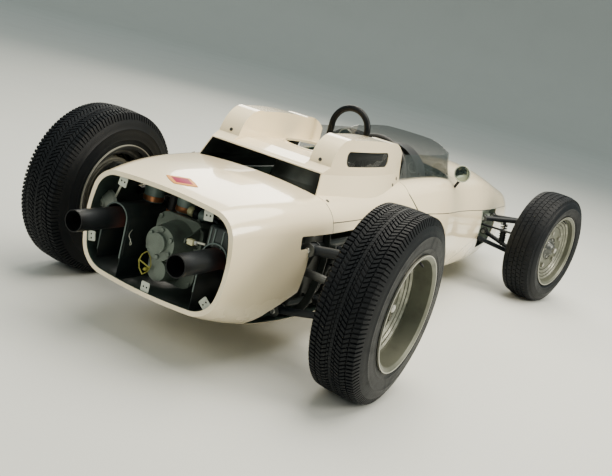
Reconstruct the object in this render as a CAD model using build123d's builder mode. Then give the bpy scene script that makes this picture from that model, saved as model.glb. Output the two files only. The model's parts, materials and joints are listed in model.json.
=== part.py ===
from build123d import *
import os
from math import atan2, cos, degrees, hypot, radians, sin

# An open wheel racing car of about 1960 with its engine behind the driver, parked with its
# front wheels turned a little to the right. +X is forward, +Y is the driver's left, +Z is up.
# The origin is on the ground under the middle of the car. Millimetres.

os.makedirs("parts", exist_ok=True)

# Driving dimensions
wheelbase = 2332
rear_track = 1280
kingpin_track = 1203
kingpin_offset = 79
steer_at_rest = -11.6
nose_reach = 3080
exhaust_reach = 590
rear_tyre_radius = 335
front_tyre_radius = 320
bead_seat_radius = 196
rim_lip_radius = 208
rim_sheet = 6
skin = 5
shut_gap = 0.8
seat_gap = 0.3
joint_clearance = 5.5

# Places along the car, from the two axles
rear_x = (exhaust_reach - nose_reach) / 2
front_x = rear_x + wheelbase
nose_x = rear_x + nose_reach
tail_x = rear_x - 440
shut_x = rear_x + 70
deck_front_x = rear_x + 830
screen_x = rear_x + 1440
hoop_x = rear_x + 765

SIDES = (("left", 1), ("right", -1))

# Body sections from tail to nose. Columns: x, keel height, crown height, half width, inset of
# the upper corner, inset of the lower corner, rise of the crown, drop of the keel, radius of
# the upper corner, radius of the lower corner.
BODY_SECTIONS = (
    (tail_x, 183, 556, 298, 30, 34, 16, 16, 92, 110),
    (rear_x - 280, 138, 583, 334, 28, 44, 20, 16, 98, 122),
    (rear_x - 100, 113, 598, 366, 30, 52, 24, 14, 104, 132),
    (shut_x, 106, 606, 380, 36, 54, 26, 12, 106, 132),
    (rear_x + 830, 100, 640, 388, 76, 50, 22, 10, 90, 110),
    (screen_x, 100, 655, 384, 76, 46, 34, 10, 90, 100),
    (front_x - 260, 108, 650, 360, 84, 42, 60, 10, 100, 90),
    (front_x + 190, 128, 588, 326, 70, 42, 54, 10, 100, 90),
    (front_x + 510, 165, 524, 290, 56, 44, 46, 12, 96, 92),
    (front_x + 680, 218, 480, 232, 44, 44, 36, 16, 80, 78),
    (nose_x, 286, 428, 158, 26, 26, 16, 14, 44, 44),
)


def body_section(station, inset):
    """The body's closed outline at one station, pulled in by an inset, as a sketch."""
    x, keel, crown, wide, upper_in, lower_in, rise, drop, upper_r, lower_r = station
    top_y = wide - upper_in - inset
    top_z = crown - rise - inset
    low_y = wide - lower_in - inset
    low_z = keel + drop + inset
    side_y = wide - inset
    side_z = (keel + crown) / 2 - 10
    with BuildSketch(Plane.YZ.offset(x)) as outline:
        with BuildLine():
            ThreePointArc((-top_y, top_z), (0, crown - inset), (top_y, top_z))
            ThreePointArc((top_y, top_z), (side_y, side_z), (low_y, low_z))
            ThreePointArc((low_y, low_z), (0, keel + inset), (-low_y, low_z))
            ThreePointArc((-low_y, low_z), (-side_y, side_z), (-top_y, top_z))
        make_face()
        fillet(outline.vertices().group_by(Axis.Y)[-1], upper_r - inset)
        fillet(outline.vertices().group_by(Axis.Y)[0], lower_r - inset)
    return outline.sketch


def body_ring(station, inset, width):
    """A flat ring along the body's outline at one station, as a sketch."""
    return body_section(station, inset) - body_section(station, inset + width)


def body_volume(inset):
    """The whole body as one smooth solid, pulled in by an inset."""
    with BuildPart() as volume:
        loft([body_section(station, inset).face() for station in BODY_SECTIONS])
    return volume.part


def side_prism(points, low_y, high_y, corner=0):
    """A prism across the car whose outline is given in side view, from low_y to high_y."""
    with BuildPart() as prism:
        with BuildSketch(Plane.XZ.offset(-low_y)) as outline:
            with BuildLine():
                Polyline(*points, close=True)
            make_face()
            if corner:
                fillet(outline.vertices(), corner)
        extrude(amount=low_y - high_y)
    return prism.part


def ring_tube(points, radius, bore=0.0, bend=0.0):
    """A round tube along straight runs joined by arcs of one radius, hollow where it has a bore."""
    with BuildPart() as run:
        with BuildLine() as path:
            if bend:
                FilletPolyline(*points, radius=bend)
            else:
                Polyline(*points)
        start = Plane(path.line @ 0, z_dir=path.line % 0)
        with BuildSketch(start):
            Circle(radius)
            if bore:
                Circle(bore, mode=Mode.SUBTRACT)
        sweep(transition=Transition.ROUND)
    return run.part


def straight(start, end, radius):
    """A round bar between two points."""
    axis = Vector(*end) - Vector(*start)
    with BuildPart() as bar:
        with BuildSketch(Plane(origin=start, z_dir=axis)):
            Circle(radius)
        extrude(amount=axis.length)
    return bar.part


# The lines in side view where the body's panels meet. The upper panels lift off along one
# long line that falls towards the nose.
line_rear_z = 520
kink_x = deck_front_x + 100
kink_z = 503
line_front_x = nose_x + 50
line_front_z = 392
kink_back = 14
half_gap = shut_gap / 2
far = 700
high = 900


def line_z(x):
    """Height of the long shut line ahead of its kink."""
    return kink_z + (line_front_z - kink_z) * (x - kink_x) / (line_front_x - kink_x)


outer_body = body_volume(0)
inner_body = body_volume(skin)

with BuildPart() as body_skin:
    add(outer_body)
    add(inner_body, mode=Mode.SUBTRACT)

# Openings in the sides for the rear and the front suspension, in side view
rear_opening = (
    (rear_x - 127, 484), (rear_x + 300, 484), (rear_x + 300, 200), (rear_x + 260, 154),
    (rear_x - 240, 154), (rear_x - 185, 213), (rear_x - 70, 280), (rear_x - 70, 437),
    (rear_x - 127, 437),
)
recess_rear_x = rear_x + 2034
recess_front_x = rear_x + 2432
recess_low_z = 215
recess_corner_z = 302
front_opening = (
    (recess_rear_x, line_z(recess_rear_x) + 10), (recess_front_x, line_z(recess_front_x) + 10),
    (recess_front_x, recess_low_z + 30), (recess_front_x - 40, recess_low_z),
    (recess_rear_x + 76, recess_low_z), (recess_rear_x, recess_corner_z),
)
opening_corner = 9

# Tail: the whole shell behind the engine deck, open at the back, with a lip turned in
lip_depth = 7
lip_width = 15
lip_round = 3
tail_station = BODY_SECTIONS[0]

with BuildPart() as tail_shell:
    add(body_skin.part)
    extrude(body_ring(tail_station, lip_round, lip_width - lip_round), amount=lip_depth)
    split(bisect_by=Plane.YZ.offset(shut_x - half_gap), keep=Keep.BOTTOM)
    for low_y, high_y in ((150, far), (-far, -150)):
        add(side_prism(rear_opening, low_y, high_y, opening_corner), mode=Mode.SUBTRACT)
tail_shell.part.label = "tail_shell"
export_step(tail_shell.part, "parts/tail_shell.step")

# Plates with two holes inside the tail's lip, where a rear panel would fasten.
# Columns: y, z of the middle, turn in degrees.
TAIL_TABS = ((176, 518, 8), (-176, 518, -8), (262, 300, 78), (0, 214, 0), (-236, 248, -52))
tab_size = 34
tab_sheet = 2.5
tab_hole = 3.5
tab_x = tail_x + lip_depth + seat_gap

with BuildPart() as tail_tabs:
    for y, z, turn in TAIL_TABS:
        with BuildSketch(Plane.YZ.offset(tab_x)):
            with Locations(Location((y, z), turn)):
                RectangleRounded(tab_size, tab_size, 4)
                with GridLocations(14, 14, 2, 1):
                    Circle(tab_hole, mode=Mode.SUBTRACT)
        extrude(amount=tab_sheet)
tail_tabs.part.label = "tail_tabs"
export_step(tail_tabs.part, "parts/tail_tabs.step")

# Deck over the engine: a raised box with a hump along each side, standing on the body's skin.
# Columns: x, half width at the foot, at the crease and at the top.
deck_low_z = 500
crease_z = 662
deck_high_z = 812
deck_top_z = 690
hump_top_z = 797
trough_half = 160
deck_skin = 4
slot_low_z = 577
slot_high_z = 667
slot_lean = 42
DECK_SECTIONS = (
    (shut_x - 20, 287, 237, 222),
    (rear_x + 450, 350, 284, 262),
    (deck_front_x + 30, 286, 254, 232),
)


def deck_volume(inset):
    """The raised box of the engine deck with its two humps, pulled in by an inset."""
    back = shut_x - 20
    front = deck_front_x + 30
    with BuildPart() as box:
        for x, foot_y, crease_y, top_y in DECK_SECTIONS:
            with BuildSketch(Plane.YZ.offset(x)):
                with BuildLine():
                    Polyline((foot_y - inset, deck_low_z), (crease_y - inset, crease_z),
                             (top_y - inset, deck_high_z), (inset - top_y, deck_high_z),
                             (inset - crease_y, crease_z), (inset - foot_y, deck_low_z), close=True)
                make_face()
        loft()
        with BuildSketch(Plane.XZ):
            with BuildLine():
                Polyline((shut_x + 88, deck_top_z - inset), (shut_x + 45, slot_high_z + 2 - inset),
                         (back, slot_high_z - 11 - inset), (back, deck_low_z), (front, deck_low_z),
                         (front, hump_top_z - 81 - inset))
                ThreePointArc((front, hump_top_z - 81 - inset),
                              (deck_front_x - 50, hump_top_z - 25 - inset),
                              (shut_x + 590, hump_top_z - 9 - inset))
                ThreePointArc((shut_x + 590, hump_top_z - 9 - inset),
                              (shut_x + 400, hump_top_z - inset),
                              (shut_x + 235, hump_top_z - 3 - inset))
                ThreePointArc((shut_x + 235, hump_top_z - 3 - inset),
                              (shut_x + 128, hump_top_z - 31 - inset),
                              (shut_x + 88, deck_top_z - inset))
            make_face()
        extrude(amount=far, both=True, mode=Mode.INTERSECT)
        with BuildSketch(Plane.XZ):
            with BuildLine():
                Polyline((shut_x + 60, slot_high_z + 4 - inset), (shut_x + 150, deck_top_z - inset),
                         (front + 10, deck_top_z - inset), (front + 10, high),
                         (shut_x + 60, high), close=True)
            make_face()
        extrude(amount=trough_half + inset, both=True, mode=Mode.SUBTRACT)
    return box.part


deck_region = (
    (shut_x + half_gap, line_rear_z + half_gap), (shut_x + half_gap, slot_low_z),
    (shut_x + slot_lean, slot_high_z), (shut_x + slot_lean, high),
    (deck_front_x - half_gap, high), (deck_front_x - half_gap, kink_z + 80),
    (kink_x - kink_back, kink_z + half_gap + 2),
)
fan_x = rear_x + 530
fan_hole_radius = 146
rim_bead = 5
hoop_half = 87
hoop_radius = 14
window_low_z = 694
window_high_z = 752
window_rear_x = rear_x + 255
window_front_x = rear_x + 630
window_corner = 24
window_length = window_front_x - window_rear_x
window_height = window_high_z - window_low_z
window_x = (window_rear_x + window_front_x) / 2
window_z = (window_low_z + window_high_z) / 2

with BuildPart() as engine_deck:
    add(outer_body)
    add(deck_volume(0))
    add(inner_body, mode=Mode.SUBTRACT)
    add(deck_volume(deck_skin), mode=Mode.SUBTRACT)
    add(side_prism(deck_region, -far, far), mode=Mode.INTERSECT)
    with BuildSketch(Plane.XZ.offset(0)):
        with Locations((fan_x + fan_hole_radius, deck_top_z)):
            Circle(rim_bead)
    revolve(axis=Axis((fan_x, 0, 0), (0, 0, 1)))
    with BuildSketch(Plane.XY.offset(deck_top_z - 30)):
        with Locations((fan_x, 0)):
            Circle(fan_hole_radius - 1)
        with Locations((hoop_x, hoop_half), (hoop_x, -hoop_half)):
            Circle(hoop_radius + 3)
    extrude(amount=60, mode=Mode.SUBTRACT)
    for side in (1, -1):
        with BuildSketch(Plane.XZ.offset(-side * 230)):
            with Locations((window_x, window_z)):
                RectangleRounded(window_length, window_height, window_corner)
        extrude(amount=-side * 90, mode=Mode.SUBTRACT)
engine_deck.part.label = "engine_deck"
export_step(engine_deck.part, "parts/engine_deck.step")

# Mesh panels against the inner face of the deck, behind its two side windows
grille_sheet = 2
grille_lap = 9

with BuildPart() as deck_grilles:
    add(deck_volume(deck_skin + seat_gap))
    add(deck_volume(deck_skin + seat_gap + grille_sheet), mode=Mode.SUBTRACT)
    with BuildSketch(Plane.XZ):
        with Locations((window_x, window_z)):
            RectangleRounded(window_length + grille_lap, window_height + grille_lap, window_corner)
    extrude(amount=far, both=True, mode=Mode.INTERSECT)
    with BuildSketch(Plane.XY):
        with Locations((window_x, 0)):
            Rectangle(2 * far, 2 * trough_half + 80)
    extrude(amount=high, mode=Mode.SUBTRACT)
deck_grilles.part.label = "deck_grilles"
export_step(deck_grilles.part, "parts/deck_grilles.step")

# Upper body: the sides of the cockpit and the top of the nose in one panel
cockpit_rear_half = 245
cockpit_front_half = 272
cockpit_straight_x = screen_x - 20
cockpit_front_x = screen_x + 265
upper_region = (
    (deck_front_x + half_gap, high), (deck_front_x + half_gap, kink_z + 86),
    (kink_x, kink_z + half_gap), (line_front_x, line_front_z + half_gap), (line_front_x, high),
)

with BuildPart() as upper_body:
    add(body_skin.part)
    add(side_prism(upper_region, -far, far), mode=Mode.INTERSECT)
    with BuildSketch(Plane.XY.offset(kink_z)):
        with BuildLine():
            Polyline((cockpit_straight_x, cockpit_front_half), (deck_front_x - 60, cockpit_rear_half),
                     (deck_front_x - 60, -cockpit_rear_half), (cockpit_straight_x, -cockpit_front_half))
            ThreePointArc((cockpit_straight_x, -cockpit_front_half), (cockpit_front_x, 0),
                          (cockpit_straight_x, cockpit_front_half))
        make_face()
    extrude(amount=high - kink_z, mode=Mode.SUBTRACT)
upper_body.part.label = "upper_body"
export_step(upper_body.part, "parts/upper_body.step")

# Side panels between the long line and a diagonal that rises to the front recess
panel_rear_x = kink_x + 10
panel_low_z = 150
panel_bend_x = rear_x + 1520
panel_outline = (
    (panel_rear_x, panel_low_z), (panel_bend_x, panel_low_z + 10),
    (recess_rear_x, recess_corner_z), (recess_rear_x, line_z(recess_rear_x) - half_gap),
    (panel_rear_x, line_z(panel_rear_x) - half_gap),
)
panel_hole = (
    (panel_rear_x - shut_gap, panel_low_z - shut_gap), (panel_bend_x, panel_low_z + 10 - shut_gap),
    (recess_rear_x + 1, recess_corner_z - shut_gap), (recess_rear_x + 1, high),
    (panel_rear_x - shut_gap, high),
)

with BuildPart() as side_panels:
    add(body_skin.part)
    add(side_prism(panel_outline, -far, far), mode=Mode.INTERSECT)
    with BuildSketch(Plane.XY):
        with Locations((panel_rear_x, 0)):
            Rectangle(4 * far, 400)
    extrude(amount=high, mode=Mode.SUBTRACT)
side_panels.part.label = "side_panels"
export_step(side_panels.part, "parts/side_panels.step")

# Lower body: floor, sides and the underside of the nose
belly_region = (
    (shut_x + half_gap, 0), (line_front_x, 0), (line_front_x, line_front_z - half_gap),
    (kink_x, kink_z - half_gap), (shut_x + half_gap, line_rear_z - half_gap),
)

with BuildPart() as belly_pan:
    add(body_skin.part)
    add(side_prism(belly_region, -far, far), mode=Mode.INTERSECT)
    for low_y, high_y in ((200, far), (-far, -200)):
        add(side_prism(panel_hole, low_y, high_y), mode=Mode.SUBTRACT)
        add(side_prism(rear_opening, low_y, high_y, opening_corner), mode=Mode.SUBTRACT)
        add(side_prism(front_opening, low_y, high_y, opening_corner), mode=Mode.SUBTRACT)
belly_pan.part.label = "belly_pan"
export_step(belly_pan.part, "parts/belly_pan.step")

# Frame: a ring behind each main section of the skin, with two rails a side through them
ring_gap = 1.1
ring_width = 26
ring_half = 2
rail_radius = 14
cross_radius = rail_radius - 3
rail_bend = 300
rail_in = ring_width + 1
RING_SECTIONS = BODY_SECTIONS[3:9]
tail_ring = BODY_SECTIONS[2]
seat_ring = BODY_SECTIONS[4]
seat_ring_top = 560
frame_rear_x = rear_x - 150
rear_tube_x = frame_rear_x + 14
arch_half = 130
arch_rise = 42
arch_bend = 60


def lower_rail(station):
    """Height and half width of the lower rail at a body section."""
    x, keel, crown, wide, upper_in, lower_in, rise, drop, upper_r, lower_r = station
    reach = (lower_r - skin - rail_in) * sin(radians(45))
    return wide - 0.85 * lower_in - lower_r + reach, keel + 0.8 * drop + lower_r - reach


def upper_rail(station):
    """Height and half width of the upper rail at a body section."""
    x, keel, crown, wide, upper_in, lower_in, rise, drop, upper_r, lower_r = station
    side_z = (keel + crown) / 2 - 10
    rail_z = min(430, line_z(x) - 52)
    lean = upper_in * ((rail_z - side_z) / (crown - rise - side_z)) ** 2
    return wide - lean - skin - rail_in - 3, rail_z


def between(x, rail):
    """Half width and height of a rail at any place along the car."""
    for first, second in zip(RING_SECTIONS, RING_SECTIONS[1:]):
        if first[0] <= x <= second[0]:
            share = (x - first[0]) / (second[0] - first[0])
            y0, z0 = rail(first)
            y1, z1 = rail(second)
            return y0 + share * (y1 - y0), z0 + share * (z1 - z0)
    return rail(RING_SECTIONS[0]) if x < RING_SECTIONS[0][0] else rail(RING_SECTIONS[-1])


# Columns: place along the car of each pair of uprights between the rails
arm_rear_x = front_x - 232
arm_front_x = front_x + 66
rear_arm_back_x = rear_x - 50
rear_arm_front_x = rear_x + 232
UPRIGHT_PLACES = (rear_x + 30, rear_arm_front_x, arm_rear_x, arm_front_x)

box_half = 42
box_tube_x = front_x + box_half + seat_gap + cross_radius
cooler_station = RING_SECTIONS[-1]
cooler_bar_half = cooler_station[3] - skin - ring_width + 3
COOLER_BARS = (308, 402)

# Places of the dampers on the left side, and of the brackets that hold their heads
FRONT_DAMPER_FOOT = (front_x - 104, 465, 258.5)
FRONT_DAMPER_HEAD = (front_x - 92, 442, 396)
REAR_DAMPER_FOOT = (rear_x + 84, 437.5, 231.5)
REAR_DAMPER_HEAD = (rear_x + 84, 402, 446)
damper_rod = 9
bracket_radius = 8

with BuildPart() as frame:
    for station in RING_SECTIONS:
        extrude(body_ring(station, skin + ring_gap, ring_width), amount=ring_half, both=True)
    with BuildSketch(Plane.XY.offset(seat_ring_top)):
        with Locations((seat_ring[0], 0)):
            Rectangle(60, 900)
    extrude(amount=300, mode=Mode.SUBTRACT)
    for side in (1, -1):
        for rail in (lower_rail, upper_rail):
            stops = [(frame_rear_x, *rail(tail_ring))]
            stops += [(station[0], *rail(station)) for station in RING_SECTIONS]
            corners = [(x, side * y, z) for x, y, z in stops]
            add(ring_tube(corners, rail_radius, bend=rail_bend))
        for x in UPRIGHT_PLACES:
            low_y, low_z = between(x, lower_rail)
            top_y, top_z = between(x, upper_rail)
            add(straight((x, side * low_y, low_z), (x, side * top_y, top_z), cross_radius))
        for head_x, head_y, head_z in (FRONT_DAMPER_HEAD, REAR_DAMPER_HEAD):
            top_y, top_z = between(head_x, upper_rail)
            add(straight((head_x, side * top_y, top_z),
                         (head_x, side * (head_y - damper_rod - 2), head_z - 8), bracket_radius))
    for x, rail in ((rear_tube_x, lower_rail), (hoop_x, upper_rail), (box_tube_x, upper_rail)):
        y, z = rail(tail_ring) if x < RING_SECTIONS[0][0] else between(x, rail)
        add(straight((x, -y, z), (x, y, z), cross_radius))
    y, z = upper_rail(tail_ring)
    add(ring_tube(((rear_tube_x, -y, z), (rear_tube_x, -arch_half, z + arch_rise),
                   (rear_tube_x, arch_half, z + arch_rise), (rear_tube_x, y, z)),
                  cross_radius, bend=arch_bend))
    for z in COOLER_BARS:
        add(straight((cooler_station[0], -cooler_bar_half, z),
                     (cooler_station[0], cooler_bar_half, z), cross_radius))
frame.part.label = "frame"
export_step(frame.part, "parts/frame.step")

# Wheels. Each corner has a frame of its own: x outboard along the axle, y up, z along the car.
# Columns: name, side, place of the axle, half track, height, steer, tyre radius, half width of
# the tyre, half width of the rim, seat of the wheel's disc outboard of the middle.
front_y = kingpin_track / 2 + kingpin_offset
CORNERS = (
    ("front_left", 1, front_x, front_y, front_tyre_radius, steer_at_rest, 99, 91, 34),
    ("front_right", -1, front_x, front_y, front_tyre_radius, steer_at_rest, 99, 91, 34),
    ("rear_left", 1, rear_x, rear_track / 2, rear_tyre_radius, 0, 101, 105, 2),
    ("rear_right", -1, rear_x, rear_track / 2, rear_tyre_radius, 0, 101, 105, 2),
)


def corner_frame(side, axle_x, half_track, height, steer):
    """The plane of a wheel: origin at its middle, x outboard, y up."""
    turn = radians(steer)
    offset = kingpin_offset if steer else 0
    pivot_y = half_track - offset
    out = Vector(-side * sin(turn), side * cos(turn), 0)
    ahead = Vector(side * cos(turn), side * sin(turn), 0)
    centre = Vector(axle_x, side * pivot_y, height) + out * offset
    return Plane(origin=centre, x_dir=out, z_dir=ahead)


shoulder_drop = 15
tread_in = 10
sidewall_mid = 262
drum_depth = 60
drum_radius = 134
fin_height = 8
hub_radius = 38
spindle_radius = 17
shaft_radius = 20
running_gap = 0.3
stud_circle = 102.5
stud_radius = 7
stud_gap = 0.3
nut_radius = 13
disc_sheet = 6

for name, side, axle_x, half_track, radius, steer, tyre_half, rim_half, disc_seat in CORNERS:
    place = corner_frame(side, axle_x, half_track, radius, steer)
    axle = Axis(place.origin, place.x_dir)
    rear = steer == 0
    bead_half = rim_half - 13
    with BuildPart() as tyre:
        with BuildSketch(place):
            with BuildLine():
                Line((bead_half, bead_seat_radius + seat_gap), (bead_half + 5, rim_lip_radius + 0.6))
                ThreePointArc((bead_half + 5, rim_lip_radius + 0.6), (tyre_half, sidewall_mid),
                              (tyre_half - tread_in, radius - 2 * shoulder_drop))
                Line((tyre_half - tread_in, radius - 2 * shoulder_drop),
                     (tyre_half - 2.2 * tread_in, radius - 5))
                ThreePointArc((tyre_half - 2.2 * tread_in, radius - 5), (0, radius),
                              (2.2 * tread_in - tyre_half, radius - 5))
                Line((2.2 * tread_in - tyre_half, radius - 5),
                     (tread_in - tyre_half, radius - 2 * shoulder_drop))
                ThreePointArc((tread_in - tyre_half, radius - 2 * shoulder_drop),
                              (-tyre_half, sidewall_mid), (-bead_half - 5, rim_lip_radius + 0.6))
                Line((-bead_half - 5, rim_lip_radius + 0.6), (-bead_half, bead_seat_radius + seat_gap))
                Line((-bead_half, bead_seat_radius + seat_gap), (bead_half, bead_seat_radius + seat_gap))
            make_face()
        revolve(axis=axle)
    tyre.part.label = f"tyre_{name}"
    export_step(tyre.part, f"parts/tyre_{name}.step")

    lip = rim_lip_radius
    seat = bead_seat_radius
    well = seat - 26
    inner = seat - rim_sheet
    with BuildPart() as rim:
        with BuildSketch(place):
            with BuildLine():
                Polyline(
                    (rim_half, lip), (rim_half - 7, lip), (rim_half - 12.6, seat),
                    (-rim_half + 66, seat), (-rim_half + 54, well), (-rim_half + 34, well),
                    (-rim_half + 24, seat), (-rim_half + 12.6, seat), (-rim_half + 7, lip),
                    (-rim_half, lip), (-rim_half, lip - 6), (-rim_half + 8, inner),
                    (-rim_half + 26, inner), (-rim_half + 36, well - rim_sheet),
                    (-rim_half + 52, well - rim_sheet), (-rim_half + 64, inner),
                    (disc_seat + 6, inner), (disc_seat + 6, 172), (disc_seat, 166),
                    (disc_seat, 68), (disc_seat + disc_sheet, 68), (disc_seat + disc_sheet, 138),
                    (disc_seat + 14, 144), (disc_seat + 14, 156), (disc_seat + 20, 161),
                    (disc_seat + 20, 173), (disc_seat + 27, 178), (disc_seat + 27, inner),
                    (rim_half - 8, inner), (rim_half, lip - 6), close=True)
            make_face()
        revolve(axis=axle)
        disc_plane = Plane(origin=place.origin, x_dir=place.z_dir, z_dir=place.x_dir)
        with BuildSketch(disc_plane.offset(disc_seat - 1)):
            with PolarLocations(stud_circle, 5):
                Circle(stud_radius + stud_gap)
        extrude(amount=disc_sheet + 2, mode=Mode.SUBTRACT)
    rim.part.label = f"rim_{name}"
    export_step(rim.part, f"parts/rim_{name}.step")

    face = disc_seat - seat_gap
    back = face - drum_depth
    bore = shaft_radius + running_gap if rear else spindle_radius + running_gap
    bore_end = face - 4
    fins = [(face - 12 - 11 * i - step, drum_radius + fin_height * high_side)
            for i in range(4) for step, high_side in ((0, 0), (1, 1), (5, 1), (6, 0))]
    with BuildPart() as drum:
        with BuildSketch(place):
            with BuildLine():
                Polyline((face + 22, 0), (face + 22, hub_radius - 14), (face + 14, hub_radius - 6),
                         (face + 4, hub_radius), (face, hub_radius), (face, drum_radius - 8),
                         (face - 6, drum_radius), *fins, (back, drum_radius),
                         (back, drum_radius - 8), (face - 8, drum_radius - 10),
                         (face - 8, hub_radius), (back + 6, hub_radius), (back + 6, bore),
                         (bore_end, bore), (bore_end, 0), close=True)
            make_face()
        revolve(axis=axle)
        with BuildSketch(disc_plane.offset(face - 1)):
            with PolarLocations(stud_circle, 5):
                Circle(stud_radius)
        extrude(amount=disc_sheet + 1 + 2 * seat_gap)
        with BuildSketch(disc_plane.offset(disc_seat + disc_sheet + seat_gap)):
            with PolarLocations(stud_circle, 5):
                RegularPolygon(nut_radius, 6)
        extrude(amount=11)
    drum.part.label = f"drum_{name}"
    export_step(drum.part, f"parts/drum_{name}.step")

# Engine: one plain block of its real size with mounting ears, and the fan housing on its top
engine_rear_x = rear_x + 190
engine_front_x = rear_x + 735
engine_half = 238
engine_low_z = 150
engine_top_z = 500
ear_length = 36
ear_places = (engine_rear_x + 60, engine_front_x - 60)

with BuildPart() as engine_block:
    with BuildSketch(Plane.XY.offset(engine_low_z)):
        with Locations(((engine_rear_x + engine_front_x) / 2, 0)):
            RectangleRounded(engine_front_x - engine_rear_x, 2 * engine_half, 30)
    extrude(amount=engine_top_z - engine_low_z)
    for x in ear_places:
        rail_y, rail_z = between(x, lower_rail)
        ear_end = rail_y - rail_radius - 3 * seat_gap
        with BuildSketch(Plane.XY.offset(rail_z - 9)):
            with Locations((x, 0)):
                Rectangle(ear_length, 2 * ear_end)
        extrude(amount=18)
engine_block.part.label = "engine_block"
export_step(engine_block.part, "parts/engine_block.step")

# Cooling fan that lies flat on the engine, in a flared housing under the hole in the deck
housing_top_z = 652
housing_foot = 168
housing_mouth = 152
housing_sheet = 4
fan_radius = 138
fan_hub = 46
fan_low_z = 596
fan_blade_height = 34
fan_blades = 11
fan_pin = 12
fan_pitch = 38

with BuildPart() as fan_housing:
    with BuildSketch(Plane.XZ):
        with BuildLine():
            Polyline((fan_x + housing_foot, engine_top_z + seat_gap),
                     (fan_x + housing_foot, engine_top_z + 60), (fan_x + housing_mouth, housing_top_z),
                     (fan_x + housing_mouth - housing_sheet, housing_top_z),
                     (fan_x + housing_foot - housing_sheet, engine_top_z + 60),
                     (fan_x + housing_foot - housing_sheet, engine_top_z + 10),
                     (fan_x + 30, engine_top_z + 10), (fan_x + 24, fan_low_z - joint_clearance),
                     (fan_x + fan_pin + running_gap, fan_low_z - joint_clearance),
                     (fan_x + fan_pin + running_gap, engine_top_z + 20), (fan_x, engine_top_z + 20),
                     (fan_x, engine_top_z + seat_gap), close=True)
        make_face()
    revolve(axis=Axis((fan_x, 0, 0), (0, 0, 1)))
fan_housing.part.label = "fan_housing"
export_step(fan_housing.part, "parts/fan_housing.step")

with BuildPart() as cooling_fan:
    with BuildSketch(Plane.XZ):
        with BuildLine():
            Polyline((fan_x, engine_top_z + 20 + joint_clearance),
                     (fan_x + fan_pin, engine_top_z + 20 + joint_clearance),
                     (fan_x + fan_pin, fan_low_z), (fan_x + fan_hub, fan_low_z),
                     (fan_x + fan_hub, fan_low_z + fan_blade_height),
                     (fan_x + fan_hub - 18, fan_low_z + fan_blade_height + 12),
                     (fan_x, fan_low_z + fan_blade_height + 12), close=True)
        make_face()
    revolve(axis=Axis((fan_x, 0, 0), (0, 0, 1)))
    with Locations((fan_x, 0, fan_low_z + fan_blade_height / 2)):
        with PolarLocations(0, fan_blades):
            with Locations(Location((fan_radius / 2 + 18, 0, 0), (fan_pitch, 0, 0))):
                Box(fan_radius - 36, 4, fan_blade_height + 8)
cooling_fan.part.label = "cooling_fan"
export_step(cooling_fan.part, "parts/cooling_fan.step")

# Gearbox behind the engine: bell, main case, a boss for each driveshaft and the end cover
axle_z = rear_tyre_radius
boss_radius = 62
boss_end_y = 138
gearbox_front_x = engine_rear_x - seat_gap
case_rear_x = rear_x - 300
gearbox_top_z = 440
cover_rear_x = rear_x - 405
shaft_inner_y = 112
GEARBOX_SECTIONS = (
    (gearbox_front_x, 150, 190, 470, 50),
    (rear_x + 90, 118, 200, 452, 50),
    (rear_x - 60, 104, 205, 446, 44),
    (case_rear_x, 92, 214, gearbox_top_z, 40),
)

with BuildPart() as gearbox:
    for x, half, low, top, corner in GEARBOX_SECTIONS:
        with BuildSketch(Plane.YZ.offset(x)):
            with Locations((0, (low + top) / 2)):
                RectangleRounded(2 * half, top - low, corner)
    loft(ruled=True)
    with BuildSketch(Plane.XZ.offset(-boss_end_y)):
        with Locations((rear_x, axle_z)):
            Circle(boss_radius)
    extrude(amount=2 * boss_end_y)
    with BuildSketch(Plane.YZ.offset(case_rear_x - 14)):
        with Locations((0, 330)):
            RectangleRounded(196, 236, 46)
    extrude(amount=16)
    for z, cover_radius, cover_x in ((362, 74, cover_rear_x), (268, 52, cover_rear_x + 12)):
        with BuildSketch(Plane(origin=(case_rear_x, 0, z), z_dir=(-1, 0, 0))):
            Circle(cover_radius)
        extrude(amount=case_rear_x - cover_x, taper=9)
    with BuildSketch(Plane(origin=(cover_rear_x, 6, 362), z_dir=(-1, 0, 0))):
        Circle(34)
    extrude(amount=12)
    with BuildSketch(Plane.XZ.offset(-boss_end_y)):
        with Locations((rear_x, axle_z)):
            Circle(shaft_radius + running_gap)
    extrude(amount=boss_end_y - shaft_inner_y + 6, mode=Mode.SUBTRACT)
    with BuildSketch(Plane.XZ.offset(boss_end_y)):
        with Locations((rear_x, axle_z)):
            Circle(shaft_radius + running_gap)
    extrude(amount=shaft_inner_y - 6 - boss_end_y, mode=Mode.SUBTRACT)
gearbox.part.label = "gearbox"
export_step(gearbox.part, "parts/gearbox.step")

# Exhausts: one pipe a side from under the engine to a plain open mouth behind the tail
pipe_radius = 36
pipe_sheet = 3
pipe_mouth_x = rear_x - exhaust_reach
pipe_bend = 60
pipe_y = 208
pipe_z = 382

with BuildPart() as exhausts:
    for name, side in SIDES:
        route = ((pipe_mouth_x, side * pipe_y, pipe_z), (rear_x - 330, side * pipe_y, pipe_z),
                 (rear_x - 90, side * (pipe_y - 4), 240), (rear_x + 50, side * (pipe_y - 8), 222),
                 (engine_rear_x - seat_gap, side * (pipe_y - 8), 222))
        add(ring_tube(route, pipe_radius, pipe_radius - pipe_sheet, pipe_bend))
exhausts.part.label = "exhausts"
export_step(exhausts.part, "parts/exhausts.step")

# Rear suspension: a hub carrier each side on an upper and a lower arm, with a damper
carrier_offset = 100
carrier_y = rear_track / 2 - carrier_offset
carrier_half = 13
carrier_low_z = axle_z - 112
carrier_high_z = axle_z + 138
rear_back_a = 2 - seat_gap - drum_depth
plate_gap = joint_clearance
plate_sheet = 4
plate_radius = 128
carrier_hub = 46
upper_arm_radius = 18
lower_arm_radius = 13

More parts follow.
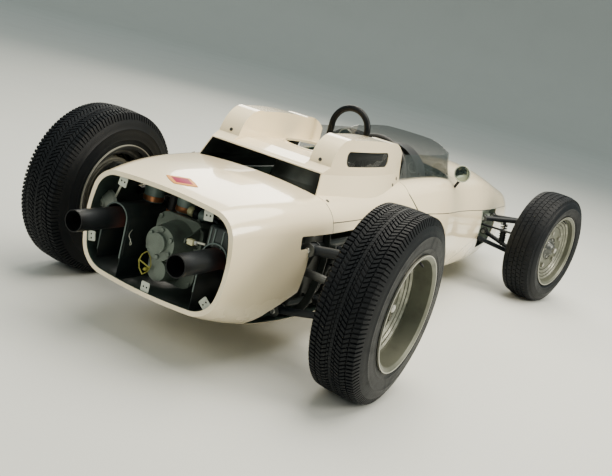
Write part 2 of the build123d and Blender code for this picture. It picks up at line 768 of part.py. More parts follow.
with BuildPart() as rear_carriers:
    for name, side in SIDES:
        plate_y = rear_track / 2 + rear_back_a - plate_gap
        hub_start = carrier_y - carrier_half
        with BuildSketch(Plane.XZ.offset(-side * hub_start)):
            with Locations((rear_x, axle_z)):
                Circle(carrier_hub)
        extrude(amount=-side * (plate_y - hub_start))
        with BuildSketch(Plane.XZ.offset(-side * (plate_y - plate_sheet))):
            with Locations((rear_x, axle_z)):
                Circle(plate_radius)
        extrude(amount=-side * plate_sheet)
        with BuildSketch(Plane.XZ.offset(-side * hub_start)):
            with BuildLine():
                Polyline((rear_x - 72, carrier_high_z - 24), (rear_x - 60, carrier_high_z),
                         (rear_x - 24, carrier_high_z), (rear_x + 44, axle_z),
                         (rear_x + 34, carrier_low_z), (rear_x - 66, carrier_low_z),
                         (rear_x - 40, axle_z), close=True)
            make_face()
        extrude(amount=-side * 2 * carrier_half)
        with BuildSketch(Plane.XZ.offset(-side * hub_start)):
            with Locations((rear_x, axle_z)):
                Circle(shaft_radius + running_gap)
        extrude(amount=-side * (plate_y - hub_start), mode=Mode.SUBTRACT)
rear_carriers.part.label = "rear_carriers"
export_step(rear_carriers.part, "parts/rear_carriers.step")

# Columns: place at the frame, which rail, place at the carrier, height at the carrier, radius,
# how far the end is drawn back from the rail's surface
REAR_ARMS = (
    (rear_arm_back_x, upper_rail, rear_x - 50, carrier_high_z - 16, upper_arm_radius, 5),
    (rear_arm_back_x, lower_rail, rear_x - 48, carrier_low_z + 14, lower_arm_radius, 4),
    (rear_arm_front_x, lower_rail, rear_x + 16, carrier_low_z + 14, lower_arm_radius, 16),
)


def shortened(start, end, off_start, off_end):
    """The two ends of a bar, each drawn back along it."""
    axis = (Vector(*end) - Vector(*start)).normalized()
    return tuple(Vector(*start) + axis * off_start), tuple(Vector(*end) - axis * off_end)


with BuildPart() as rear_arms:
    for name, side in SIDES:
        for frame_x, rail, hub_x, hub_z, radius, back_off in REAR_ARMS:
            rail_y, rail_z = between(frame_x, rail)
            start = (frame_x, side * rail_y, rail_z)
            end = (hub_x, side * (carrier_y - carrier_half - seat_gap - radius - 2), hub_z)
            start, end = shortened(start, end, rail_radius + back_off + seat_gap, 0)
            add(straight(start, end, radius))
        for x0, x1, z, radius in ((rear_x - 50 - 20, rear_x - 50 + 20, carrier_high_z - 16, 19),
                                  (rear_x - 60, rear_x + 30, carrier_low_z + 14, 14)):
            y = side * (carrier_y - carrier_half - seat_gap - radius)
            add(straight((x0, y, z), (x1, y, z), radius))
rear_arms.part.label = "rear_arms"
export_step(rear_arms.part, "parts/rear_arms.step")

# Driveshafts, which turn with the rear wheels, with a joint near each end
joint_radius = 38
shaft_slim = 15
hub_end_y = rear_track / 2 + 2 - seat_gap - 6
joint_places = (boss_end_y + 36, carrier_y - carrier_half - 34)
joint_half = 20

for name, side in SIDES:
    with BuildPart() as driveshaft:
        with BuildSketch(Plane.XY.offset(axle_z)):
            with BuildLine():
                inner_joint, outer_joint = joint_places
                Polyline(*[(rear_x + r, side * y) for r, y in (
                    (0, shaft_inner_y), (shaft_radius, shaft_inner_y),
                    (shaft_radius, inner_joint - joint_half), (joint_radius, inner_joint - joint_half),
                    (joint_radius, inner_joint + joint_half), (shaft_slim, inner_joint + joint_half + 8),
                    (shaft_slim, outer_joint - joint_half - 8), (joint_radius, outer_joint - joint_half),
                    (joint_radius, outer_joint + joint_half - 12),
                    (shaft_radius, outer_joint + joint_half - 6),
                    (shaft_radius, hub_end_y), (0, hub_end_y))], close=True)
            make_face()
        revolve(axis=Axis((rear_x, 0, axle_z), (0, 1, 0)))
    driveshaft.part.label = f"driveshaft_{name}"
    export_step(driveshaft.part, f"parts/driveshaft_{name}.step")

# Steering: both knuckles, the drop arm and the two rods make one parallelogram
arm_length = 150
pin_radius = 8
eye_radius = 15
eye_half = 7
knuckle_arm_z = 340
arm_half = 7
eye_lift = arm_half + seat_gap + eye_half
drop_arm_z = knuckle_arm_z + eye_lift
kingpin_y = kingpin_track / 2
post_low_z = 222
post_high_z = 420
ball_radius = 13
front_back_a = 34 - seat_gap - drum_depth
turn = radians(steer_at_rest)
back = Vector(-cos(turn), -sin(turn), 0)
front_axle_z = front_tyre_radius


def level_bar(start, end, width, half, z):
    """A flat bar with round ends between two points at one height."""
    length = hypot(end[0] - start[0], end[1] - start[1])
    angle = degrees(atan2(end[1] - start[1], end[0] - start[0]))
    middle = ((start[0] + end[0]) / 2, (start[1] + end[1]) / 2)
    with BuildPart() as bar:
        with BuildSketch(Plane.XY.offset(z - half)):
            with Locations(Location(middle, angle)):
                SlotCenterToCenter(length, width)
        extrude(amount=2 * half)
    return bar.part


knuckle_pins = {}
for name, side in SIDES:
    pivot = Vector(front_x, side * kingpin_y, 0)
    place = corner_frame(side, front_x, front_y, front_axle_z, steer_at_rest)
    pin = pivot + back * arm_length
    knuckle_pins[name] = pin
    with BuildPart() as knuckle:
        add(straight((pivot.X, pivot.Y, post_low_z), (pivot.X, pivot.Y, post_high_z), 19))
        with BuildSketch(Plane(origin=place.origin, x_dir=place.z_dir, z_dir=place.x_dir)
                         .offset(-kingpin_offset - 8)):
            Circle(34)
        extrude(amount=front_back_a - plate_gap + kingpin_offset + 8)
        with BuildSketch(Plane(origin=place.origin, x_dir=place.z_dir, z_dir=place.x_dir)
                         .offset(front_back_a - plate_gap - plate_sheet)):
            Circle(plate_radius)
        extrude(amount=plate_sheet)
        with BuildSketch(Plane(origin=place.origin, x_dir=place.z_dir, z_dir=place.x_dir)
                         .offset(-kingpin_offset)):
            Circle(spindle_radius)
        extrude(amount=kingpin_offset + 34 - seat_gap - 8)
        add(level_bar((pivot.X, pivot.Y), (pin.X, pin.Y), 26, arm_half, knuckle_arm_z))
        pin_low = (pin.X, pin.Y, knuckle_arm_z)
        add(straight(pin_low, (pin.X, pin.Y, knuckle_arm_z + arm_half + 2 * eye_half + 4), pin_radius))
    knuckle.part.label = f"knuckle_{name}"
    export_step(knuckle.part, f"parts/knuckle_{name}.step")

drop_pivot = Vector(front_x, 0, 0)
drop_pin = drop_pivot + back * arm_length
box_low_z = drop_arm_z + arm_half + joint_clearance + 12
box_high_z = 452
drop_shaft = 11

with BuildPart() as drop_arm:
    add(level_bar((drop_pivot.X, drop_pivot.Y), (drop_pin.X, drop_pin.Y), 30, arm_half, drop_arm_z))
    pin_top = drop_arm_z + arm_half + 2 * eye_half + 4
    pin_bottom = drop_arm_z - arm_half - 2 * eye_half - 4
    add(straight((drop_pin.X, drop_pin.Y, pin_bottom), (drop_pin.X, drop_pin.Y, pin_top), pin_radius))
    add(straight((front_x, 0, drop_arm_z), (front_x, 0, box_low_z + 30), drop_shaft))
drop_arm.part.label = "drop_arm"
export_step(drop_arm.part, "parts/drop_arm.step")

rod_radius = 6.5
for name, side in SIDES:
    outer = knuckle_pins[name]
    outer_z = knuckle_arm_z + eye_lift
    inner_z = drop_arm_z + side * eye_lift
    outer_eye = (outer.X, outer.Y, outer_z)
    inner_eye = (drop_pin.X, drop_pin.Y, inner_z)
    with BuildPart() as tie_rod:
        start, end = shortened(inner_eye, outer_eye, eye_radius - 3, eye_radius - 3)
        add(straight(start, end, rod_radius))
        for x, y, z in (inner_eye, outer_eye):
            with BuildSketch(Plane.XY.offset(z - eye_half)):
                with Locations((x, y)):
                    Circle(eye_radius)
            extrude(amount=2 * eye_half)
            with BuildSketch(Plane.XY.offset(z - eye_half)):
                with Locations((x, y)):
                    Circle(pin_radius + running_gap)
            extrude(amount=2 * eye_half, mode=Mode.SUBTRACT)
    tie_rod.part.label = f"tie_rod_{name}"
    export_step(tie_rod.part, f"parts/tie_rod_{name}.step")

# Steering wheel on its long shaft, and the box that the shaft turns
wheel_x = rear_x + 1125
wheel_z = 585
wheel_radius = 172
wheel_grip = 12
column_radius = 11
spoke_width = 24
spoke_sheet = 4
column_end = Vector(front_x - box_half + 14, 0, (box_low_z + box_high_z) / 2)
wheel_centre = Vector(wheel_x, 0, wheel_z)
column = (column_end - wheel_centre)
wheel_plane = Plane(origin=wheel_centre, x_dir=(0, 1, 0), z_dir=column)
steering_ratio = 8

with BuildPart() as steering_wheel:
    with BuildSketch(Plane(origin=wheel_centre, x_dir=wheel_plane.x_dir, z_dir=wheel_plane.y_dir)):
        with Locations((wheel_radius, 0)):
            Circle(wheel_grip)
    revolve(axis=Axis(wheel_centre, column))
    with BuildSketch(wheel_plane.offset(-spoke_sheet / 2)):
        Circle(34)
        with PolarLocations(wheel_radius / 2, 3, start_angle=90 + steer_at_rest * steering_ratio):
            Rectangle(wheel_radius, spoke_width)
    extrude(amount=spoke_sheet)
    with BuildSketch(wheel_plane.offset(-14)):
        Circle(22)
    extrude(amount=40)
    with BuildSketch(wheel_plane):
        Circle(column_radius)
    extrude(amount=column.length)
steering_wheel.part.label = "steering_wheel"
export_step(steering_wheel.part, "parts/steering_wheel.step")

with BuildPart() as steering_box:
    with BuildSketch(Plane.XY.offset(box_low_z)):
        with Locations((front_x, 0)):
            RectangleRounded(2 * box_half, 2 * box_half, 12)
    extrude(amount=box_high_z - box_low_z)
    with BuildSketch(Plane.XY.offset(box_low_z)):
        with Locations((front_x, 0)):
            Circle(drop_shaft + running_gap)
    extrude(amount=36, mode=Mode.SUBTRACT)
    with BuildSketch(wheel_plane.offset(column.length - 60)):
        Circle(column_radius + 8)
    extrude(amount=52)
    with BuildSketch(wheel_plane.offset(column.length - 70)):
        Circle(column_radius + running_gap)
    extrude(amount=76, mode=Mode.SUBTRACT)
steering_box.part.label = "steering_box"
export_step(steering_box.part, "parts/steering_box.step")

# Front suspension: an upper and a lower arm of two legs each side, meeting at the kingpin
upper_ball_z = post_high_z + seat_gap + ball_radius
lower_ball_z = post_low_z - seat_gap - ball_radius
arm_mount_z = 285
# Columns: place at the frame, height there (None where it is on the rail), height at the kingpin
FRONT_ARMS = (
    (arm_rear_x, None, upper_ball_z, 15),
    (arm_front_x, None, upper_ball_z, 13),
    (arm_rear_x, arm_mount_z, lower_ball_z, 13),
    (arm_front_x, arm_mount_z, lower_ball_z, 13),
)

for name, side in SIDES:
    with BuildPart() as arms:
        for frame_x, mount_z, ball_z, radius in FRONT_ARMS:
            top_y, top_z = between(frame_x, upper_rail)
            low_y, low_z = between(frame_x, lower_rail)
            z = mount_z or top_z
            y = low_y + (top_y - low_y) * (z - low_z) / (top_z - low_z)
            post = rail_radius if mount_z is None else cross_radius
            end = (front_x, side * kingpin_y, ball_z)
            start, end = shortened((frame_x, side * y, z), end, post + radius * 0.8 + seat_gap + 1, 23)
            add(straight(start, end, radius))
        for ball_z in (upper_ball_z, lower_ball_z):
            with BuildSketch(Plane.XY.offset(ball_z - ball_radius)):
                with Locations((front_x, side * kingpin_y)):
                    Circle(27)
            extrude(amount=2 * ball_radius)
    arms.part.label = f"front_arms_{name}"
    export_step(arms.part, f"parts/front_arms_{name}.step")

# Dampers with their springs, one at each wheel, from a lower arm to a bracket of the frame.
# Columns: foot, head, radius of the spring
damper_body = 17
DAMPERS = (
    (FRONT_DAMPER_FOOT, FRONT_DAMPER_HEAD, 22),
    (REAR_DAMPER_FOOT, REAR_DAMPER_HEAD, 30),
)


def damper_profile(length, coil_radius):
    """Half outline of a damper along its own axis: eyes, body, rod and the coils of its spring."""
    lower_seat = 0.14 * length
    upper_seat = 0.86 * length
    turns = 6
    pitch = (upper_seat - lower_seat - 8) / turns
    points = [(0, 0), (damper_rod, 0), (damper_rod, lower_seat - 6), (coil_radius, lower_seat - 6),
              (coil_radius, lower_seat)]
    for i in range(turns):
        z = lower_seat + 4 + pitch * i
        points += [(damper_body, z), (coil_radius - 1, z + pitch * 0.3),
                   (coil_radius - 1, z + pitch * 0.6), (damper_body, z + pitch * 0.9)]
    points += [(coil_radius, upper_seat), (coil_radius, upper_seat + 6),
               (damper_rod, upper_seat + 6), (damper_rod, length), (0, length)]
    return points


with BuildPart() as dampers:
    for foot_place, head_place, coil_radius in DAMPERS:
        for name, side in SIDES:
            foot = Vector(foot_place[0], side * foot_place[1], foot_place[2])
            head = Vector(head_place[0], side * head_place[1], head_place[2])
            axis = head - foot
            across = Vector(1, 0, 0).cross(axis)
            plane = Plane(origin=foot, x_dir=axis.cross(across), z_dir=across)
            with BuildSketch(plane):
                with BuildLine():
                    Polyline(*damper_profile(axis.length, coil_radius), close=True)
                make_face()
            revolve(axis=Axis(foot, axis))
dampers.part.label = "dampers"
export_step(dampers.part, "parts/dampers.step")

# Roll hoop through the deck, standing on the frame's cross tube behind the seat
hoop_top_z = 888
hoop_foot_z = between(hoop_x, upper_rail)[1] + cross_radius + seat_gap
hoop_leg_z = hoop_top_z - hoop_half - hoop_radius

with BuildPart() as roll_hoop:
    with BuildLine():
        Line((hoop_x, hoop_half, hoop_foot_z), (hoop_x, hoop_half, hoop_leg_z))
        ThreePointArc((hoop_x, hoop_half, hoop_leg_z), (hoop_x, 0, hoop_top_z - hoop_radius),
                      (hoop_x, -hoop_half, hoop_leg_z))
        Line((hoop_x, -hoop_half, hoop_leg_z), (hoop_x, -hoop_half, hoop_foot_z))
    with BuildSketch(Plane.XY.offset(hoop_foot_z)):
        with Locations((hoop_x, hoop_half)):
            Circle(hoop_radius)
    sweep()
roll_hoop.part.label = "roll_hoop"
export_step(roll_hoop.part, "parts/roll_hoop.step")

# Windscreen: one sheet along both sides of the cockpit and round its front, raked at the front
screen_sheet = 3.5
screen_rear_x = deck_front_x + 12
screen_foot_rear = 262
screen_foot_front = 300
screen_foot_nose = screen_x + 312
screen_foot_z = 560
screen_head_rear = 256
screen_head_front = 250
screen_head_nose = screen_x + 60
screen_head_z = 800
screen_side_z = 741
SCREEN_EDGES = (
    (screen_foot_z, screen_x, screen_foot_rear, screen_foot_front, screen_foot_nose),
    (screen_head_z, screen_x - 30, screen_head_rear, screen_head_front, screen_head_nose),
)
screen_gap = 0.4

with BuildPart() as windscreen:
    for z, corner_x, rear_half, corner_half, nose in SCREEN_EDGES:
        with BuildSketch(Plane.XY.offset(z)):
            with BuildLine():
                inner_rear = rear_half - screen_sheet
                inner_corner = corner_half - screen_sheet
                Line((screen_rear_x, rear_half), (corner_x, corner_half))
                ThreePointArc((corner_x, corner_half), (nose, 0), (corner_x, -corner_half))
                Line((corner_x, -corner_half), (screen_rear_x, -rear_half))
                Line((screen_rear_x, -rear_half), (screen_rear_x, -inner_rear))
                Line((screen_rear_x, -inner_rear), (corner_x, -inner_corner))
                ThreePointArc((corner_x, -inner_corner), (nose - screen_sheet, 0), (corner_x, inner_corner))
                Line((corner_x, inner_corner), (screen_rear_x, inner_rear))
                Line((screen_rear_x, inner_rear), (screen_rear_x, rear_half))
            make_face()
    loft(ruled=True)
    add(side_prism(((screen_rear_x - 20, screen_side_z), (screen_x - 100, screen_side_z + 1),
                    (screen_x, screen_side_z + 18), (screen_x + 48, 790), (screen_x + 80, 792),
                    (screen_x + 80, 900), (screen_rear_x - 20, 900)), -far, far), mode=Mode.SUBTRACT)
    add(body_volume(-screen_gap), mode=Mode.SUBTRACT)
windscreen.part.label = "windscreen"
export_step(windscreen.part, "parts/windscreen.step")

# Seat: a sheet tub on the floor, and the pad that lies in it
seat_half = 212
seat_sheet = 5
seat_low_z = BODY_SECTIONS[4][1] + skin + 0.8
seat_back_head = (rear_x + 870, 628)
seat_back_foot = (rear_x + 938, seat_low_z)
seat_front_x = rear_x + 1390


def back_x(z):
    """Place of the seat's inner back wall at a height."""
    lean = (seat_back_head[0] - seat_back_foot[0]) / (seat_back_head[1] - seat_back_foot[1])
    return seat_back_foot[0] + seat_sheet + lean * (z - seat_back_foot[1])


with BuildPart() as seat:
    add(side_prism((seat_back_head, seat_back_foot, (seat_front_x, seat_low_z),
                    (seat_front_x, seat_low_z + 90), (rear_x + 1150, seat_low_z + 160),
                    (rear_x + 1010, seat_low_z + 330), (rear_x + 930, 628)), -seat_half, seat_half))
    base_z = seat_low_z + seat_sheet
    add(side_prism(((back_x(660), 660), (back_x(base_z), base_z),
                    (seat_front_x + 10, base_z), (seat_front_x + 10, 660)),
                   -seat_half + seat_sheet, seat_half - seat_sheet), mode=Mode.SUBTRACT)
seat.part.label = "seat"
export_step(seat.part, "parts/seat.step")

pad_thick = 34
pad_top_z = 600
pad_half = seat_half - seat_sheet - 6
with BuildPart() as seat_pad:
    low_z = base_z + seat_gap
    add(side_prism(((back_x(pad_top_z) + 0.5, pad_top_z), (back_x(low_z) + 0.5, low_z),
                    (seat_front_x - 50, low_z), (seat_front_x - 40, low_z + pad_thick),
                    (back_x(low_z) + pad_thick, low_z + pad_thick),
                    (back_x(pad_top_z) + pad_thick, pad_top_z + 4)), -pad_half, pad_half))
seat_pad.part.label = "seat_pad"
export_step(seat_pad.part, "parts/seat_pad.step")

# Dashboard: a face plate with a hood over it, behind the ring at the front of the cockpit
dash_half = 168
dash_x = screen_x - ring_half - seat_gap
dash_sheet = 4
dash_foot_z = 520
dash_shoulder_z = 600
dash_top_z = 732
hood_length = 120
hood_sheet = 3
column_hole = 20
column_z = wheel_z + (dash_x - wheel_x) * column.Z / column.X

with BuildPart() as dashboard:
    for sheet, length in ((0, dash_sheet), (hood_sheet, hood_length)):
        with BuildSketch(Plane.YZ.offset(dash_x - length)):
            with BuildLine():
                Polyline((dash_half, dash_shoulder_z), (dash_half, dash_foot_z),
                         (-dash_half, dash_foot_z), (-dash_half, dash_shoulder_z))
                ThreePointArc((-dash_half, dash_shoulder_z), (0, dash_top_z), (dash_half, dash_shoulder_z))
            make_face()
            if sheet:
                with BuildLine():
                    inner = dash_half - sheet
                    Polyline((inner, dash_shoulder_z), (inner, dash_foot_z - 10),
                             (-inner, dash_foot_z - 10), (-inner, dash_shoulder_z))
                    ThreePointArc((-inner, dash_shoulder_z), (0, dash_top_z - sheet),
                                  (inner, dash_shoulder_z))
                make_face(mode=Mode.SUBTRACT)
        extrude(amount=length)
    with BuildSketch(Plane.XY.offset(dash_foot_z - 1)):
        with Locations((dash_x - hood_length, 0)):
            Rectangle(2 * hood_length - 30, 4 * dash_half)
    extrude(amount=dash_shoulder_z - dash_foot_z - 20, mode=Mode.SUBTRACT)
    with BuildSketch(Plane.YZ.offset(dash_x - dash_sheet - 5)):
        with Locations((0, column_z)):
            Circle(column_hole)
    extrude(amount=dash_sheet + 10, mode=Mode.SUBTRACT)
dashboard.part.label = "dashboard"
export_step(dashboard.part, "parts/dashboard.step")

# Mirrors: a round bowl on a short stalk each side of the screen
mirror_x = rear_x + 1470
mirror_y = 340
mirror_z = 670
mirror_radius = 42
mirror_depth = 40
stalk_foot_y = 316
stalk_foot_z = 592

with BuildPart() as mirrors:
    for name, side in SIDES:
        with BuildSketch(Plane(origin=(mirror_x, side * mirror_y, mirror_z), z_dir=(0, 0, 1))):
            with BuildLine():
                Polyline((mirror_depth, 0), (5, 0), (5, mirror_radius - 3), (0, mirror_radius - 3),
                         (0, mirror_radius))
                ThreePointArc((0, mirror_radius), (mirror_depth * 0.72, mirror_radius * 0.66),
                              (mirror_depth, 0))
            make_face()
        revolve(axis=Axis((mirror_x, side * mirror_y, mirror_z), (1, 0, 0)))
        foot = (mirror_x + 12, side * stalk_foot_y, stalk_foot_z)
        add(straight(foot, (mirror_x + 16, side * mirror_y, mirror_z - 20), 7))
    add(body_volume(-seat_gap), mode=Mode.SUBTRACT)
mirrors.part.label = "mirrors"
export_step(mirrors.part, "parts/mirrors.step")

# Oil cooler behind the nose intake, on two bars of the frame
cooler_half = 128
cooler_low_z = 296
cooler_high_z = 414
cooler_depth = 44
cooler_x = cooler_station[0] + cross_radius + seat_gap

with BuildPart() as oil_cooler:
    with BuildSketch(Plane.YZ.offset(cooler_x)):
        with Locations((0, (cooler_low_z + cooler_high_z) / 2)):
            Rectangle(2 * cooler_half, cooler_high_z - cooler_low_z)
            with GridLocations(0, 17, 1, 6):
                Rectangle(2 * cooler_half - 30, 5, mode=Mode.SUBTRACT)
    extrude(amount=cooler_depth)
oil_cooler.part.label = "oil_cooler"
export_step(oil_cooler.part, "parts/oil_cooler.step")

# What stands round the gearbox under the tail: two cans, a cone and the hoods over the pipes
shroud_sheet = 2.5
shroud_front_x = rear_tube_x - cross_radius - seat_gap
shroud_rear_x = rear_x - 395
shroud_half = 50
shroud_foot_z = 250
shroud_arch_z = pipe_z
can_radius = 36
can_low_z = shroud_arch_z + shroud_half + seat_gap

with BuildPart() as heat_shrouds:
    for name, side in SIDES:
        with BuildSketch(Plane.YZ.offset(shroud_rear_x)):
            with BuildLine():
                y = side * pipe_y
                outer = shroud_half
                Polyline((y - outer, shroud_arch_z), (y - outer, shroud_foot_z),
                         (y + outer, shroud_foot_z), (y + outer, shroud_arch_z))
                ThreePointArc((y + outer, shroud_arch_z), (y, shroud_arch_z + outer),
                              (y - outer, shroud_arch_z))
            make_face()
            with BuildLine():
                inner = shroud_half - shroud_sheet
                Polyline((y - inner, shroud_arch_z), (y - inner, shroud_foot_z - 5),
                         (y + inner, shroud_foot_z - 5), (y + inner, shroud_arch_z))
                ThreePointArc((y + inner, shroud_arch_z), (y, shroud_arch_z + inner),
                              (y - inner, shroud_arch_z))
            make_face(mode=Mode.SUBTRACT)
        extrude(amount=shroud_front_x - shroud_rear_x)
        for x in (shroud_rear_x + 40, shroud_front_x - 60):
            for way in (1, -1):
                add(straight((x, y + way * (pipe_radius + seat_gap), pipe_z),
                             (x, y + way * (shroud_half - 1), pipe_z), 5))
heat_shrouds.part.label = "heat_shrouds"
export_step(heat_shrouds.part, "parts/heat_shrouds.step")

# Columns: place of each can, height of its foot and of its top, radius
CANS = (
    (rear_x - 215, pipe_y, can_low_z, 530, can_radius),
    (rear_x - 235, 50, gearbox_top_z + 3, 512, can_radius - 2),
)

with BuildPart() as canisters:
    for x, y, low, top, radius in CANS:
        with BuildSketch(Plane.XY.offset(low)):
            with Locations((x, y)):
                Circle(radius)
        extrude(amount=top - low)
canisters.part.label = "canisters"
export_step(canisters.part, "parts/canisters.step")
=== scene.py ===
"""Studio scene of an open wheel racing car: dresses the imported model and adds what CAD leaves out."""

import json
import logging
import math
from contextlib import contextmanager
from dataclasses import dataclass
from enum import Enum
from functools import cache
from typing import Callable, Iterable, Iterator, Sequence

import bmesh
import bpy
from mathutils import Matrix, Vector
from mathutils.bvhtree import BVHTree

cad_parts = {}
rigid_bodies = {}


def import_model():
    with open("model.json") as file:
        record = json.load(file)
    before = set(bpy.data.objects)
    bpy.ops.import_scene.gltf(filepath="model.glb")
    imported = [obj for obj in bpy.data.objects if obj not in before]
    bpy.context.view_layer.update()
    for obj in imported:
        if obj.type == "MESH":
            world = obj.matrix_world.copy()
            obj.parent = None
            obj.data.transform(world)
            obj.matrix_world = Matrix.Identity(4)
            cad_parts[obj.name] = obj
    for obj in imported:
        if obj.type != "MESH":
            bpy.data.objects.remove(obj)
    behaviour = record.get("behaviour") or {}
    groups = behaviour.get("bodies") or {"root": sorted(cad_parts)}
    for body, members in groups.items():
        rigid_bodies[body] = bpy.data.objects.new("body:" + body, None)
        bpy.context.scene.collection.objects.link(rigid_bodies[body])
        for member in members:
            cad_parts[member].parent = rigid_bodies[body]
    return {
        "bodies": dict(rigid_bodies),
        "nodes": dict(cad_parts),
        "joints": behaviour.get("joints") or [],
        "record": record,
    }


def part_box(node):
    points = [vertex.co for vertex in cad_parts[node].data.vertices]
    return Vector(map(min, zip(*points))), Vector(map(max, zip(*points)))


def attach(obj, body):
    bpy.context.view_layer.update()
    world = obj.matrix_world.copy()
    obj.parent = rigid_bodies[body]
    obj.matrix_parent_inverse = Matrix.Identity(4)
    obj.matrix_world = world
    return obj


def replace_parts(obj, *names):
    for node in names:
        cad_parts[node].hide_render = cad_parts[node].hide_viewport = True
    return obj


LOG = logging.getLogger("scene")
Piece = bpy.types.Object
Material = bpy.types.Material
Colour = tuple[float, float, float]
Point = tuple[float, float, float]
Flat = tuple[float, float]
SIDES = (("left", 1), ("right", -1))
CAD: dict[str, Piece] = {}
TURN = 2 * math.pi
# Points closer than this become one.
MERGE = 1e-6
# A face looks along an axis where its normal passes this.
SQUARE = 0.9
# How deep nuts, caps and screws stand in what carries them.
SUNK = 0.0003
SUNK_LITTLE = 0.0002
# The tyres' radii, the place of the left kingpin, and the turn of the parked front wheels.
FRONT_RADIUS = 0.320
REAR_RADIUS = 0.335
KINGPIN = (1.087, 0.6015)
PARKED_STEER = -11.6


class Signal:
    """One output of a shader node, with the arithmetic that a formula needs."""

    def __init__(self, graph: "Graph", socket: bpy.types.NodeSocket) -> None:
        """Keeps the socket, and the graph that it belongs to."""
        self.graph = graph
        self.socket = socket

    def _math(self, operation: str, *values: object) -> "Signal":
        """One Math node on these values and signals."""
        return self.graph.node("ShaderNodeMath", {"operation": operation}, dict(enumerate(values)))

    def __add__(self, other: object) -> "Signal":
        """Sum."""
        return self._math("ADD", self, other)

    __radd__ = __add__

    def __sub__(self, other: object) -> "Signal":
        """Difference."""
        return self._math("SUBTRACT", self, other)

    def __rsub__(self, other: object) -> "Signal":
        """Difference, the other way round."""
        return self._math("SUBTRACT", other, self)

    def __mul__(self, other: object) -> "Signal":
        """Product."""
        return self._math("MULTIPLY", self, other)

    __rmul__ = __mul__

    def either(self, other: "Signal") -> "Signal":
        """The larger of two signals."""
        return self._math("MAXIMUM", self, other)

    def size(self) -> "Signal":
        """The signal without its sign."""
        return self._math("ABSOLUTE", self)

    def near(self, level: float, half: float) -> "Signal":
        """1 where the signal is within half of a level, and 0 elsewhere."""
        return self._math("COMPARE", self, level, half)

    def step(self, low: float, high: float) -> "Signal":
        """A smooth step from 0 at low to 1 at high."""
        settings = {"interpolation_type": "SMOOTHSTEP"}
        return self.graph.node("ShaderNodeMapRange", settings, {0: self, 1: low, 2: high, 3: 0.0, 4: 1.0})

    def band(self, low: float, high: float, soft: float = 0.001) -> "Signal":
        """1 between two values, with soft edges, and 0 elsewhere."""
        return self.step(low - soft, low + soft) * (1.0 - self.step(high - soft, high + soft))


class Graph:
    """The node graph of one material, round one Principled shader."""

    def __init__(self, name: str) -> None:
        """Starts a material.

        Args:
            name: its name.
        """
        self.material = bpy.data.materials.new(name)
        self.material.use_nodes = True
        self.tree = self.material.node_tree
        self.shader = self.tree.nodes["Principled BSDF"]

    def node(self, kind: str, settings: dict | None = None, inputs: dict | None = None,
             output: int | str = 0) -> Signal:
        """Makes one node.

        Args:
            kind: type name of the node.
            settings: properties of the node, set before its sockets.
            inputs: values or signals by socket name or number.
            output: which of its outputs is wanted.

        Returns:
            That output.
        """
        made = self.tree.nodes.new(kind)
        for key, value in (settings or {}).items():
            setattr(made, key, value)
        for key, value in (inputs or {}).items():
            self.feed(made.inputs[key], value)
        return Signal(self, made.outputs[output])

    def feed(self, socket: bpy.types.NodeSocket, value: object) -> None:
        """Links a signal to a socket, or sets a plain value on it.

        Args:
            socket: the socket.
            value: a signal, a number, a vector or a colour.
        """
        if isinstance(value, Signal):
            self.tree.links.new(value.socket, socket)
        elif isinstance(value, tuple) and socket.type == "RGBA":
            socket.default_value = (*value, 1.0)
        else:
            socket.default_value = value

    def set(self, **values: object) -> None:
        """Sets or links the shader's own sockets; an underscore in a name stands for a space."""
        for key, value in values.items():
            self.feed(self.shader.inputs[key.replace("_", " ")], value)

    def place(self) -> Signal:
        """Object coordinates."""
        return self.node("ShaderNodeTexCoord", output="Object")

    def split(self, vector: Signal) -> tuple[Signal, ...]:
        """The three numbers of a vector."""
        outputs = self.node("ShaderNodeSeparateXYZ", inputs={0: vector}).socket.node.outputs
        return tuple(Signal(self, output) for output in outputs)

    def axes(self) -> tuple[Signal, ...]:
        """Object coordinates as three numbers."""
        return self.split(self.place())

    def noise(self, scale: float, detail: float = 4.0, rough: float = 0.55) -> Signal:
        """Noise over Object coordinates, about 0.5 in the middle."""
        return self.node("ShaderNodeTexNoise", None,
                         {"Vector": self.place(), "Scale": scale, "Detail": detail, "Roughness": rough})

    def patches(self, scale: float, low: float, high: float) -> Signal:
        """Soft patches: where the noise of a scale rises from low to high."""
        return self.noise(scale).step(low, high)

    def vector(self, operation: str, *values: object, output: int | str = 0) -> Signal:
        """One Vector Math node on these vectors."""
        return self.node("ShaderNodeVectorMath", {"operation": operation}, dict(enumerate(values)), output)

    def mix(self, factor: object, first: object, second: object) -> Signal:
        """A mix of two colours, on the node's sockets for colours."""
        return self.node("ShaderNodeMix", {"data_type": "RGBA"}, {0: factor, 6: first, 7: second}, 2)

    def bump(self, height: Signal, distance: float, strength: float = 1.0) -> None:
        """Feeds the shader's normal from a height."""
        inputs = {"Height": height, "Distance": distance, "Strength": strength}
        self.set(Normal=self.node("ShaderNodeBump", None, inputs))


@dataclass(frozen=True)
class Look:
    """A finish by its name; each kind says how its graph is drawn."""

    name: str

    def draw(self, made: Graph) -> None:
        """Feeds the shader of the graph."""
        raise NotImplementedError

    def material(self) -> Material:
        """The finish as a new material.

        Returns:
            The material.
        """
        made = Graph(self.name)
        self.draw(made)
        return made.material


